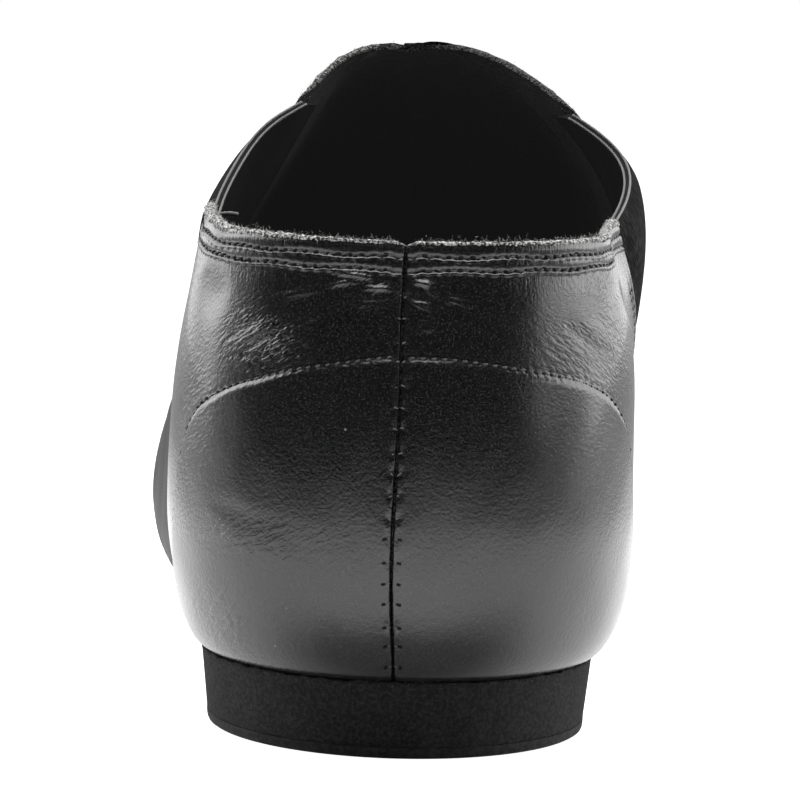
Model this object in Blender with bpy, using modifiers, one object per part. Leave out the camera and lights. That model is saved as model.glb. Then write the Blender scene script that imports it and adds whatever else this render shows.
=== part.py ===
"""A left jazz shoe: smooth leather slip-on with side gores, on a split sole with a low heel.

Units are metres. +Y runs from heel to toe, +X to the inner side of the foot, +Z up from the floor.
Lengths inside the functions start at the back of the heel, and one parent empty then centres the shoe.
"""
import math

import bpy
import bmesh
import numpy as np

# Driving sizes
LENGTH = 0.245              # back of the heel to the tip of the toe
BALL_WIDTH = 0.0805         # across the widest place of the forefoot
INSTEP_HEIGHT = 0.0840      # peak of the tongue above the foot bed
COLLAR_HEIGHT = 0.0580      # top edge of the quarters above the foot bed, at the back
HEEL_HEIGHT = 0.0102        # heel block together with its lift
LIFT_THICKNESS = 0.0015     # bottom layer of the heel
SOLE_THICKNESS = 0.0030     # forefoot pad
TOE_SPRING = 0.0070         # rise of the foot bed at the toe tip
WALL = 0.0015               # leather with its lining
COUNTER_RAISE = 0.0004      # how far the stitched heel counter stands out
GORE_THICKNESS = 0.0011     # doubled elastic
INSOLE_THICKNESS = 0.0024   # sock with its cushion
HEEL_TAPER = 0.0014         # how far the heel block draws in towards the floor
SOLE_LIP = 0.0007           # how far block and pad stand out past the feather edge
EDGE_ROUND = 0.0007         # bevel round the bottom edges of pad and lift
PAD_ROUND = 0.0190          # length of the pad's round rear end
INSOLE_INSET = 0.0006       # gap from the sock's foot to the inside of the wall
INSOLE_SPREAD = 0.0010      # how far the sock widens up to its top
NARROW_END = 0.0200         # a plate narrower than this is bevelled and spread in proportion
GORE_MARGIN = 0.00066       # clear edge between the gore and the leather
GAP = 0.0003                # between neighbouring pieces

# Places along the shoe, as shares of its length
HEEL_CAP = 0.147            # end of the round back of the heel
COUNTER_FRONT = 0.130       # front edge of the heel counter
TOE_CENTRE = 0.800          # start of the round toe
COLLAR_CORNER = 0.192       # front end of the collar
GORE_APEX = 0.302           # lowest place of the gore
GORE_FRONT = 0.345          # top front end of the gore, where the tongue starts
THROAT = 0.392              # peak of the tongue
FLAT_START = 0.550          # the forefoot rests flat from here
FLAT_END = 0.720            # to here
SEAT_END = 0.200            # the heel seat is level to here
BLOCK_FRONT = 0.222         # breast of the heel block
PAD_BACK = 0.490            # rear end of the forefoot pad
BED_HOLES = ((0.050, 0.205), (0.520, 0.930))    # open underside at the heel seat and at the forefoot

# Heights of the cut edges above the foot bed, as shares of the instep height
COLLAR_RISE = 0.014         # climb of the collar from the back to its corner
APEX_HEIGHT = 0.345         # lowest place of the gore
TONGUE_SIDE = 0.915         # where the gore meets the tongue
COUNTER_PEAK = 0.518        # stitched line of the counter, at the back
COUNTER_FOOT = 0.050        # the same line, at the counter's front edge

# Powers of the curves that the edges follow from one end to the other: 1 is straight, more stays level longer
EDGE_CURVES = {"collar": 1.5, "counter": 2.4, "quarter": 0.85, "vamp": 0.9, "tongue": 0.8, "gore": 1.25}
LEAN_CURVE = 1.8            # power by which the back leans in, from the widest line up
SLACK_FADE = 6              # power by which the slack fades out at the crown

# Cross-sections from heel to toe. Places are shares of the length, widths and tucks are shares of the
# ball width, and heights are shares of the instep height, above the foot bed. The tuck is how far the
# wall draws in from its widest line to the feather edge, and a ridge above 1 makes the crown more peaked.
SECTION_COLUMNS = ("along", "lateral", "medial", "spine", "widest", "crown", "tuck", "waist", "ridge")
SECTIONS = (
    (0.000, 0.405, 0.405, 0.000, 0.250, 1.270, 0.080, 0.080, 1.00),
    (0.080, 0.405, 0.405, 0.000, 0.250, 1.270, 0.080, 0.080, 1.00),
    (0.147, 0.407, 0.405, 0.000, 0.248, 1.265, 0.082, 0.084, 1.00),
    (0.212, 0.412, 0.400, -0.002, 0.240, 1.235, 0.088, 0.100, 1.00),
    (0.286, 0.421, 0.388, -0.008, 0.225, 1.190, 0.102, 0.130, 1.00),
    (0.347, 0.437, 0.381, -0.016, 0.208, 1.125, 0.110, 0.146, 1.02),
    (0.392, 0.452, 0.380, -0.020, 0.194, 1.045, 0.112, 0.146, 1.05),
    (0.449, 0.480, 0.392, -0.014, 0.184, 0.905, 0.106, 0.132, 1.06),
    (0.510, 0.510, 0.414, -0.004, 0.178, 0.785, 0.094, 0.108, 1.05),
    (0.571, 0.530, 0.440, 0.002, 0.172, 0.688, 0.082, 0.090, 1.03),
    (0.633, 0.538, 0.456, 0.004, 0.166, 0.604, 0.074, 0.080, 1.00),
    (0.694, 0.532, 0.462, 0.004, 0.160, 0.530, 0.070, 0.074, 0.97),
    (0.755, 0.510, 0.454, 0.004, 0.152, 0.466, 0.070, 0.072, 0.94),
    (0.816, 0.476, 0.438, 0.006, 0.145, 0.420, 0.072, 0.072, 0.92),
    (0.906, 0.430, 0.414, 0.018, 0.136, 0.356, 0.074, 0.074, 0.90),
    (1.000, 0.394, 0.394, 0.040, 0.128, 0.306, 0.076, 0.076, 0.90),
)
HEEL_LEAN = 0.070           # share of the ball width by which the back leans in up to the collar

# How the slack instep departs from the last on each side: by an amount and over a spread, as shares of
# the ball width, round a place along the shoe and a height, as shares of length and instep height.
SLACK = {
    "lateral": {"amount": -0.098, "along": 0.367, "height": 0.940, "spread": 0.270},
    "medial": {"amount": 0.098, "along": 0.310, "height": 0.780, "spread": 0.320},
}

# Rows of the upper, as values of t below the widest line, then as shares of what lies above the counter's line
UNDER_COVER = 0.58          # share of the underside that the leather covers where it is open
HOLE_ROUNDING = 0.35        # power that rounds the ends of those openings
LOWER_ROWS = (-1.0, -0.75, -0.5, -0.25, 0.0)
UPPER_ROWS = (0.14, 0.29, 0.43, 0.57, 0.71, 0.85, 1.0)
STEP_ROW = 0.008            # width of the counter's step, in t
LOWEST_LINE = 0.04          # lowest t of the row that follows the counter's line
FRONT_LINE = 0.30           # share of the rim's t that the same row takes in front of the counter
FEATHER_ROW = -0.9          # the counter stands out from here up

SIDES = {"lateral": -1, "medial": 1}
HEEL_COLUMNS = 9
TOE_COLUMNS = 9
PAD_COLUMNS = 5             # stations of the pad's round rear end
MIDDLE_COLUMNS = (          # end of each stretch of the middle, and its count of columns
    (COLLAR_CORNER, 2),
    (GORE_APEX, 6),
    (GORE_FRONT, 4),
    (THROAT, 6),
    (PAD_BACK, 4),
    (FLAT_START, 2),
    (TOE_CENTRE, 8),
)
COLOURS = {
    "leather": ((0.012, 0.012, 0.013), 0.32),
    "elastic": ((0.020, 0.020, 0.021), 0.85),
    "suede": ((0.025, 0.025, 0.026), 0.92),
    "rubber": ((0.018, 0.018, 0.018), 0.75),
    "textile": ((0.030, 0.030, 0.032), 0.95),
}


def clear_scene():
    """Start from an empty scene."""
    for item in list(bpy.data.objects):
        bpy.data.objects.remove(item)


def smooth_through(xs, ys, x):
    """Smooth curve through hand-set rows, with each row's slope taken from its two neighbours."""
    xs = np.asarray(xs, float)
    ys = np.asarray(ys, float)
    slopes = np.gradient(ys, xs)
    x = np.clip(np.asarray(x, float), xs[0], xs[-1])
    left = np.clip(np.searchsorted(xs, x, side="right") - 1, 0, len(xs) - 2)
    span = xs[left + 1] - xs[left]
    u = (x - xs[left]) / span
    start = ys[left] * (1 + 2 * u) * (1 - u) ** 2 + slopes[left] * span * u * (1 - u) ** 2
    end = ys[left + 1] * (3 - 2 * u) * u ** 2 - slopes[left + 1] * span * u ** 2 * (1 - u)
    return start + end


def ramp(x, start, end):
    """Soft step from 0 at start to 1 at end."""
    u = np.clip((np.asarray(x, float) - start) / (end - start), 0, 1)
    return u * u * (3 - 2 * u)


def section(column, y):
    """Value of one column of the section table at a place along the shoe, as a share."""
    rows = np.array(SECTIONS)
    return smooth_through(rows[:, 0], rows[:, SECTION_COLUMNS.index(column)], y / LENGTH)


def bed(y):
    """Height of the upper's underside: level heel seat, waist, flat forefoot and toe spring."""
    share = np.asarray(y, float) / LENGTH
    drop = ramp(share, SEAT_END, FLAT_START)
    spring = np.clip((share - FLAT_END) / (1 - FLAT_END), 0, None)
    front = SOLE_THICKNESS + TOE_SPRING * spring ** 2
    return GAP + HEEL_HEIGHT * (1 - drop) + front * drop


def height(column, y):
    """Height over the floor of a line that the table gives above the bed."""
    return bed(y) + section(column, y) * INSTEP_HEIGHT


def half_width(side, y):
    """Half width at the widest line, measured from the spine."""
    return (section(side, y) - SIDES[side] * section("spine", y)) * BALL_WIDTH


def tuck_width(side, y):
    """How far the wall draws in below its widest line."""
    return section("tuck" if side == "lateral" else "waist", y) * BALL_WIDTH


def slack(side, y, z):
    """Bulge, or hollow where it is negative, of the soft instep round its middle."""
    rule = SLACK[side]
    spread = rule["spread"] * BALL_WIDTH
    along = (y - rule["along"] * LENGTH) / spread
    above = (z - bed(y) - rule["height"] * INSTEP_HEIGHT) / spread
    return rule["amount"] * BALL_WIDTH * np.exp(-along ** 2 - above ** 2)


def form(side, s, t):
    """Outer surface of the last, on one side of the foot.

    s runs 0 to 1 round the heel, 1 to 2 along the middle and 2 to 3 round the toe. t runs from -2 on
    the centre line of the underside to -1 at the feather edge, 0 at the widest line and 1 at the crown.
    """
    s, t = np.broadcast_arrays(np.asarray(s, float), np.asarray(t, float))
    cap = HEEL_CAP * LENGTH
    toe = TOE_CENTRE * LENGTH
    up = np.clip(t, 0, 1) * math.pi / 2
    down = np.clip(-t, 0, 1) * math.pi / 2
    inward = np.clip(2 + t, 0, 1)
    turn = np.clip(s, 0, 1) * math.pi / 2
    bow = np.clip(s - 2, 0, 1) * math.pi / 2
    drawn = 1 - np.cos(down)

    widest = height("widest", 0)
    rise = np.sin(up) * (height("crown", 0) - widest)
    collar = COLLAR_HEIGHT + bed(0) - widest
    lean = HEEL_LEAN * BALL_WIDTH * (rise / collar) ** LEAN_CURVE
    reach = (cap - lean - tuck_width(side, 0) * drawn) * inward
    nose = ((LENGTH - toe) * np.cos(up) - tuck_width(side, toe) * drawn) * inward
    y = cap + (toe - cap) * np.clip(s - 1, 0, 1) - reach * np.cos(turn) * (s < 1) + nose * np.sin(bow)

    profile = np.cos(up) ** section("ridge", y)
    half = (half_width(side, y) * profile - tuck_width(side, y) * drawn) * inward
    half = half * np.sin(turn) * np.cos(bow)
    low = height("widest", y)
    z = low + (height("crown", y) - low) * np.sin(up) - (low - bed(y)) * np.sin(down)
    half = half + slack(side, y, z) * np.sin(turn) * (1 - np.sin(up) ** SLACK_FADE)
    x = section("spine", y) * BALL_WIDTH + SIDES[side] * half
    return np.stack([x, y, z], -1)


def offset_form(side, s, t, depth):
    """The last's surface moved inward along its normal by a depth."""
    step = 1e-4
    s, t = np.broadcast_arrays(np.asarray(s, float), np.asarray(t, float))
    near_end = np.clip(t, -2 + step, 1 - 2 * step)
    along = form(side, np.clip(s + step, 0, 3), near_end) - form(side, np.clip(s - step, 0, 3), near_end)
    across = form(side, s, near_end + step) - form(side, s, near_end - step)
    normal = np.cross(along, across) * SIDES[side]
    size = np.linalg.norm(normal, axis=-1, keepdims=True)
    return form(side, s, t) - normal / np.maximum(size, 1e-12) * np.asarray(depth)[..., None]


def reach_height(side, s, z):
    """The t at which the wall over s reaches a height above the floor."""
    low = np.zeros(np.shape(s))
    high = np.ones(np.shape(s))
    for _ in range(36):
        middle = 0.5 * (low + high)
        under = form(side, s, middle)[..., 2] < z
        low = np.where(under, middle, low)
        high = np.where(under, high, middle)
    return 0.5 * (low + high)


def quarter_edge(y):
    """Height of the quarter's front edge, from the collar's corner down to the apex of the gore."""
    start, end = COLLAR_CORNER * LENGTH, GORE_APEX * LENGTH
    u = (y - start) / (end - start)
    top = collar_edge(start)
    return top + (bed(end) + APEX_HEIGHT * INSTEP_HEIGHT - top) * u ** EDGE_CURVES["quarter"]


def vamp_edge(y):
    """Height of the vamp's side edge, from the apex of the gore up to the tongue."""
    start, end = GORE_APEX * LENGTH, GORE_FRONT * LENGTH
    foot = bed(start) + APEX_HEIGHT * INSTEP_HEIGHT
    top = bed(end) + TONGUE_SIDE * INSTEP_HEIGHT
    return foot + (top - foot) * np.clip((y - start) / (end - start), 0, 1) ** EDGE_CURVES["vamp"]


def collar_edge(y):
    """Height of the collar, climbing a little towards its corner."""
    u = np.asarray(y, float) / (COLLAR_CORNER * LENGTH)
    return bed(0) + COLLAR_HEIGHT + COLLAR_RISE * INSTEP_HEIGHT * u ** EDGE_CURVES["collar"]


def tongue_edge(y):
    """Height of the tongue's top edge, a round arch that closes on the crown at the throat."""
    start, end = GORE_FRONT * LENGTH, THROAT * LENGTH
    u = np.clip((y - start) / (end - start), 0, 1)
    side = bed(start) + TONGUE_SIDE * INSTEP_HEIGHT
    return side + (height("crown", end) - side) * u ** EDGE_CURVES["tongue"]


def gore_top(y):
    """Height of the gore's upper edge, from the collar's corner up to the tongue."""
    start, end = COLLAR_CORNER * LENGTH, GORE_FRONT * LENGTH
    u = np.clip((y - start) / (end - start), 0, 1)
    return collar_edge(start) + (vamp_edge(end) - collar_edge(start)) * u ** EDGE_CURVES["gore"]


def rim_height(y):
    """Height of the upper's cut edge at a place along the shoe, back of the throat."""
    share = np.asarray(y, float) / LENGTH
    places = [share <= COLLAR_CORNER, share <= GORE_APEX, share <= GORE_FRONT]
    safe = np.maximum(y, COLLAR_CORNER * LENGTH)
    return np.select(places, [collar_edge(y), quarter_edge(safe), vamp_edge(y)], tongue_edge(y))


def place(share):
    """The s of a place in the middle of the shoe, given as a share of its length."""
    return 1 + (share - HEEL_CAP) / (TOE_CENTRE - HEEL_CAP)


def column_places():
    """The s of each column, from the back seam to the toe tip, with the named places among them."""
    start = HEEL_CAP
    middle = [1.0]
    for end, count in MIDDLE_COLUMNS:
        steps = np.arange(1, count + 1) / count
        if end == THROAT:
            steps = 1 - (1 - steps) ** 2        # closer together where the tongue's edge closes
        middle.extend(place(start + (end - start) * steps))
        start = end
    heel = np.arange(HEEL_COLUMNS) / HEEL_COLUMNS
    front = 2 + np.arange(1, TOE_COLUMNS + 1) / TOE_COLUMNS
    return np.concatenate([heel, middle, front])


def bed_opening(y):
    """How far the underside is open, from 0 where the leather meets below to 1."""
    share = np.asarray(y, float) / LENGTH
    opened = np.zeros_like(share)
    for start, end in BED_HOLES:
        u = np.clip((share - start) / (end - start), 0, 1)
        opened = np.maximum(opened, np.clip(4 * u * (1 - u), 0, 1) ** HOLE_ROUNDING)
    return opened


def counter_line(y):
    """Height of the stitched line over the heel counter."""
    u = np.clip(y / (COUNTER_FRONT * LENGTH), 0, 1)
    peak = bed(0) + COUNTER_PEAK * INSTEP_HEIGHT
    return peak - (COUNTER_PEAK - COUNTER_FOOT) * INSTEP_HEIGHT * u ** EDGE_CURVES["counter"]


def new_material(name):
    """Plain surface with the piece's colour and roughness."""
    colour, roughness = COLOURS[name]
    material = bpy.data.materials.new(name)
    material.use_nodes = True
    shader = material.node_tree.nodes["Principled BSDF"]
    shader.inputs["Base Color"].default_value = (*colour, 1)
    shader.inputs["Roughness"].default_value = roughness
    shader.inputs["Metallic"].default_value = 0
    return material


def new_piece(name, mesh, material, home):
    """Put a mesh in the shoe as a named piece, and shade it smooth but for its edges."""
    mesh.materials.append(material)
    mesh.shade_smooth()
    mesh.set_sharp_from_angle(angle=math.radians(40))
    piece = bpy.data.objects.new(name, mesh)
    home["collection"].objects.link(piece)
    piece.parent = home["root"]
    return piece


def grid_mesh(name, grids):
    """One open sheet from grids of points whose shared edges are merged."""
    sheet = bmesh.new()
    for grid, flip in grids:
        rows = [[sheet.verts.new(point) for point in line] for line in grid]
        for first, second in zip(rows, rows[1:]):
            for a, b, c, d in zip(first, first[1:], second[1:], second):
                sheet.faces.new((d, c, b, a) if flip else (a, b, c, d))
    bmesh.ops.remove_doubles(sheet, verts=sheet.verts, dist=1e-6)
    bmesh.ops.dissolve_degenerate(sheet, edges=sheet.edges, dist=1e-7)
    mesh = bpy.data.meshes.new(name)
    sheet.to_mesh(mesh)
    sheet.free()
    return mesh


def wall(piece, thickness):
    """Give an open sheet its thickness, inward."""
    shell = piece.modifiers.new("wall", "SOLIDIFY")
    shell.thickness = thickness
    shell.offset = -1


def upper_grid(side):
    """Points of one side of the upper, a line for each column and from the underside to the rim."""
    s = column_places()
    y = form(side, s, 0)[:, 1]
    floor_row = -2 + (1 - UNDER_COVER) * bed_opening(y)
    ridge = s > place(THROAT) - 1e-9
    rim = np.where(ridge, 1.0, reach_height(side, s, np.where(ridge, 0, rim_height(y))))
    line = reach_height(side, s, counter_line(y))
    after = ramp(s, place(COUNTER_FRONT), place(THROAT))
    line = np.clip(line, LOWEST_LINE, None) * (1 - after) + FRONT_LINE * rim * after
    line = np.minimum(line, rim / 2)
    over = line + STEP_ROW
    levels = [floor_row, (floor_row - 1) / 2]
    levels += [level + 0 * s for level in LOWER_ROWS]
    levels += [line / 3, line * 2 / 3, line, over]
    levels += [over + (rim - over) * share for share in UPPER_ROWS]
    t = np.stack(levels, 1)
    behind = (y < COUNTER_FRONT * LENGTH)[:, None]
    depth = np.where(behind & (t > FEATHER_ROW) & (t < over[:, None]), -COUNTER_RAISE, 0.0)
    return offset_form(side, s[:, None] + 0 * t, t, depth)


def make_upper(home, material):
    """Quarters, vamp and tongue in one wall, with the counter as a step in it."""
    grids = []
    for side, sign in SIDES.items():
        grids.append((upper_grid(side), sign > 0))
    lateral, medial = grids[0][0], grids[1][0]
    y = form("medial", column_places(), 0)[:, 1]
    closed_top = column_places() > place(THROAT) - 1e-9
    closed_below = bed_opening(y) < 1e-6
    for row, closed in ((-1, closed_top), (0, closed_below)):
        middle = 0.5 * (lateral[closed, row] + medial[closed, row])
        lateral[closed, row] = middle
        medial[closed, row] = middle
    for end in (0, -1):
        middle = 0.5 * (lateral[end] + medial[end])
        lateral[end] = middle
        medial[end] = middle
    piece = new_piece("upper", grid_mesh("upper", grids), material, home)
    wall(piece, WALL)
    return piece


def make_gore(side, home, material):
    """Elastic panel in the V between quarter and vamp."""
    margin = GORE_MARGIN
    start, apex, end = (share * LENGTH for share in (COLLAR_CORNER, GORE_APEX, GORE_FRONT))
    first = start + 4 * margin
    last = end - 2.4 * margin
    s = column_places()
    y = HEEL_CAP * LENGTH + (s - 1) * (TOE_CENTRE - HEEL_CAP) * LENGTH
    y = np.concatenate([[first], y[(y > first + margin) & (y < last - margin)], [last]])
    below = np.where(y <= apex + margin, quarter_edge(np.clip(y - margin, start, None)), 0)
    below = np.maximum(np.where(y >= apex - margin, vamp_edge(y + margin), 0), below)
    s = place(y / LENGTH)
    low = reach_height(side, s, below)
    high = reach_height(side, s, gore_top(y))
    t = low[:, None] + (high - low)[:, None] * np.linspace(0, 1, 6)[None, :]
    points = offset_form(side, s[:, None] + 0 * t, t, np.full(t.shape, 0.5 * (WALL - GORE_THICKNESS)))
    piece = new_piece("gore_" + side, grid_mesh("gore_" + side, [(points, SIDES[side] > 0)]), material, home)
    wall(piece, GORE_THICKNESS)
    return piece


def plan_half(side, y, inset):
    """Half width of the feather edge's outline, from the spine, drawn in by an inset."""
    cap, toe = HEEL_CAP * LENGTH, TOE_CENTRE * LENGTH
    back = np.clip((cap - y) / (cap - tuck_width(side, 0) - inset), 0, 1)
    front = np.clip((y - toe) / (LENGTH - toe - tuck_width(side, toe) - inset), 0, 1)
    half = half_width(side, y) - tuck_width(side, y) - inset
    return half * np.sqrt(1 - back ** 2) * np.sqrt(1 - front ** 2)


def outline_places(start, end, inset):
    """Places along the shoe for a plate's stations, closer together round heel and toe."""
    cap, toe = HEEL_CAP * LENGTH, TOE_CENTRE * LENGTH
    turns = (np.arange(HEEL_COLUMNS) + 0.5) / HEEL_COLUMNS * math.pi / 2
    back = cap - (cap - tuck_width("medial", 0) - inset) * np.cos(turns)
    front = toe + (LENGTH - toe - tuck_width("medial", toe) - inset) * np.cos(turns[::-1])
    middle = column_places()
    middle = cap + (toe - cap) * (middle[(middle >= 1) & (middle <= 2)] - 1)
    places = np.concatenate([back, middle, front])
    first, last = max(start, places[0]), min(end, places[-1])
    inside = places[(places > first + GAP) & (places < last - GAP)]
    return np.concatenate([[first], inside, [last]])


def plate_mesh(name, y, rings):
    """Closed plate lofted through stations; each ring is a lateral and a medial edge with its height."""
    plate = bmesh.new()
    lines = []
    for x_lateral, x_medial, z in rings:
        lines.append([plate.verts.new(point) for point in zip(x_lateral, y, z)])
        lines.append([plate.verts.new(point) for point in zip(x_medial, y, z)])
    loop = lines[0::2] + lines[1::2][::-1]
    for first, second in zip(loop, loop[1:] + loop[:1]):
        for a, b, c, d in zip(first, first[1:], second[1:], second):
            plate.faces.new((a, b, c, d))
    plate.faces.new([line[0] for line in loop])
    plate.faces.new([line[-1] for line in reversed(loop)])
    bmesh.ops.recalc_face_normals(plate, faces=plate.faces)
    mesh = bpy.data.meshes.new(name)
    plate.to_mesh(mesh)
    plate.free()
    return mesh


def edges_at(y, inset, round_back=None):
    """Lateral and medial edge of a plate, in x, with a round rear end where one is named."""
    spine = section("spine", y) * BALL_WIDTH
    shrink = 1.0
    if round_back is not None:
        start, length = round_back
        u = np.clip((y - start) / length, 0, 1)
        shrink = np.sqrt(np.clip(1 - (1 - u) ** 2, 0.02, 1))
    lateral = spine - plan_half("lateral", y, inset) * shrink
    medial = spine + plan_half("medial", y, inset) * shrink
    return lateral, medial


def make_insole(home, material):
    """Sock and cushion on the foot bed, a gap inside the wall."""
    y = outline_places(0, LENGTH, INSOLE_INSET)
    base = bed(y) + WALL + 2 * GAP
    lateral, medial = edges_at(y, INSOLE_INSET)
    spread = INSOLE_SPREAD * np.minimum(1, (medial - lateral) / NARROW_END)
    rings = []
    for level, out in ((0.0, 0.0), (0.45, 0.5), (1.0, 1.0)):
        rings.append((lateral - spread * out, medial + spread * out, base + level * INSOLE_THICKNESS))
    return new_piece("insole", plate_mesh("insole", y, rings), material, home)


def make_pad(home, material):
    """Forefoot pad, following the bed and rounded at both ends."""
    start = PAD_BACK * LENGTH
    turns = (np.arange(PAD_COLUMNS) + 0.5) / PAD_COLUMNS * math.pi / 2
    rear = start + 0.85 * PAD_ROUND * (1 - np.cos(turns))
    y = np.concatenate([rear, outline_places(start + 0.9 * PAD_ROUND, LENGTH, -SOLE_LIP)])
    top = bed(y) - GAP
    lateral, medial = edges_at(y, -SOLE_LIP, (start - EDGE_ROUND, PAD_ROUND + EDGE_ROUND))
    narrow = np.minimum(1, (medial - lateral) / NARROW_END)
    rings = []
    for drop, bevel in ((0.0, 0.0), (SOLE_THICKNESS - EDGE_ROUND, 0.0), (SOLE_THICKNESS, EDGE_ROUND)):
        rings.append((lateral + bevel * narrow, medial - bevel * narrow, top - drop))
    return new_piece("outsole_forefoot", plate_mesh("outsole_forefoot", y, rings), material, home)


def make_heel_piece(name, top, bottom, bevel, home, material):
    """Slice of the tapering heel between two heights, a lip wider than the feather edge."""
    front = BLOCK_FRONT * LENGTH
    y = outline_places(0, front, -SOLE_LIP)
    rings = []
    middle = 0.5 * HEEL_CAP * LENGTH + 0.5 * front
    levels = [(top, 0.0), (bottom + 1.2 * bevel, 0.0), (bottom, bevel)]
    if not bevel:
        levels = [(top, 0.0), (bottom, 0.0)]
    places = []
    for level, extra in levels:
        pull = HEEL_TAPER * (1 - level / HEEL_HEIGHT) + extra
        lateral, medial = edges_at(y, -SOLE_LIP)
        share = 1 - pull / (0.5 * (medial - lateral).max())
        rings.append((lateral * share, medial * share, np.full_like(y, level)))
        places.append(middle + (y - middle) * (1 - pull / middle))
    mesh = plate_mesh(name, y, rings)
    for ring, line in enumerate(places):
        for side in (0, 1):
            first = (2 * ring + side) * len(y)
            for index, value in enumerate(line):
                mesh.vertices[first + index].co.y = value
    return new_piece(name, mesh, material, home)


def build():
    """Make every piece of the shoe."""
    clear_scene()
    collection = bpy.data.collections.new("jazz_shoe")
    bpy.context.scene.collection.children.link(collection)
    root = bpy.data.objects.new("shoe_root", None)
    collection.objects.link(root)
    y = np.linspace(0, LENGTH, 400)
    reach = {side: (section(side, y) * BALL_WIDTH).max() for side in SIDES}
    root.location = (0.5 * (reach["lateral"] - reach["medial"]), -0.5 * LENGTH, 0)
    home = {"collection": collection, "root": root}
    materials = {name: new_material(name) for name in COLOURS}

    make_upper(home, materials["leather"])
    for side in SIDES:
        make_gore(side, home, materials["elastic"])
    make_insole(home, materials["textile"])
    make_pad(home, materials["suede"])
    make_heel_piece("heel_block", HEEL_HEIGHT, LIFT_THICKNESS + GAP, 0, home, materials["rubber"])
    make_heel_piece("heel_lift", LIFT_THICKNESS, 0, EDGE_ROUND, home, materials["rubber"])
    bpy.context.view_layer.update()


build()
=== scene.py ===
import math

import bpy
import numpy as np
from mathutils import Matrix


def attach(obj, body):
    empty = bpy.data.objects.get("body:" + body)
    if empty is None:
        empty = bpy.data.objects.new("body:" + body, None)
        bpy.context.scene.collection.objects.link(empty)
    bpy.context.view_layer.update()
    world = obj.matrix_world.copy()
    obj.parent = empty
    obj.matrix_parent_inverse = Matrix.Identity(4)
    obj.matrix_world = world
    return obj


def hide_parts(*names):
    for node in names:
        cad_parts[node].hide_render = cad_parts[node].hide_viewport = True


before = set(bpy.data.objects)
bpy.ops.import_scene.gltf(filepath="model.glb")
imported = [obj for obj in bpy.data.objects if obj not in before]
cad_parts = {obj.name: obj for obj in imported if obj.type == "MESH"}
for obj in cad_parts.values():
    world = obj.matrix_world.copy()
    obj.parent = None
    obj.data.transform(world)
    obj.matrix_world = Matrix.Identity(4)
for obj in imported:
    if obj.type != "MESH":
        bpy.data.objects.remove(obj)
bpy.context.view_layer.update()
print("frame:", ", ".join(sorted(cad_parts)))

mm = 0.001
turn = 2 * math.pi
rng = np.random.default_rng(7)

# the last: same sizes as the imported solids, in metres, places as shares of the length
last = {
    "length": 0.245, "ball": 0.0805, "instep": 0.0840, "collar": 0.0580, "heel": 0.0102,
    "lift": 0.0015, "sole": 0.0030, "spring": 0.0070, "wall": 0.0015, "gap": 0.0003,
    "lean": 0.070, "leanPower": 1.8, "lip": 0.0007, "heelCap": 0.147, "toe": 0.800,
    "corner": 0.192, "apex": 0.302, "goreFront": 0.345, "throat": 0.392, "flatStart": 0.550,
    "flatEnd": 0.720, "seatEnd": 0.200, "blockFront": 0.222, "padBack": 0.490,
    "collarRise": 0.014, "apexHeight": 0.345, "tongueSide": 0.915,
    "quarterPower": 0.85, "vampPower": 0.9,             # curves of the two edges beside the gore
    "openBelow": ((0.050, 0.205), (0.520, 0.930)),      # open underside at the heel seat and at the forefoot
    "home": (0.0031, -0.1225, 0.0),      # where the back of the heel's centre line stands in the frame
    "columns": ("along", "lateral", "medial", "spine", "widest", "crown", "tuck", "waist", "ridge"),
    "rows": (
        (0.000, 0.405, 0.405, 0.000, 0.250, 1.270, 0.080, 0.080, 1.00),
        (0.080, 0.405, 0.405, 0.000, 0.250, 1.270, 0.080, 0.080, 1.00),
        (0.147, 0.407, 0.405, 0.000, 0.248, 1.265, 0.082, 0.084, 1.00),
        (0.212, 0.412, 0.400, -0.002, 0.240, 1.235, 0.088, 0.100, 1.00),
        (0.286, 0.421, 0.388, -0.008, 0.225, 1.190, 0.102, 0.130, 1.00),
        (0.347, 0.437, 0.381, -0.016, 0.208, 1.125, 0.110, 0.146, 1.02),
        (0.392, 0.452, 0.380, -0.020, 0.194, 1.045, 0.112, 0.146, 1.05),
        (0.449, 0.480, 0.392, -0.014, 0.184, 0.905, 0.106, 0.132, 1.06),
        (0.510, 0.510, 0.414, -0.004, 0.178, 0.785, 0.094, 0.108, 1.05),
        (0.571, 0.530, 0.440, 0.002, 0.172, 0.688, 0.082, 0.090, 1.03),
        (0.633, 0.538, 0.456, 0.004, 0.166, 0.604, 0.074, 0.080, 1.00),
        (0.694, 0.532, 0.462, 0.004, 0.160, 0.530, 0.070, 0.074, 0.97),
        (0.755, 0.510, 0.454, 0.004, 0.152, 0.466, 0.070, 0.072, 0.94),
        (0.816, 0.476, 0.438, 0.006, 0.145, 0.420, 0.072, 0.072, 0.92),
        (0.906, 0.430, 0.414, 0.018, 0.136, 0.356, 0.074, 0.074, 0.90),
        (1.000, 0.394, 0.394, 0.040, 0.128, 0.306, 0.076, 0.076, 0.90),
    ),
    # soft bulge or hollow of the instep: amount, place along, height, spread; power that fades it at the crown
    "slack": {"lateral": (-0.098, 0.367, 0.940, 0.270), "medial": (0.098, 0.310, 0.780, 0.320)},
    "slackFade": 6,
}
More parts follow.
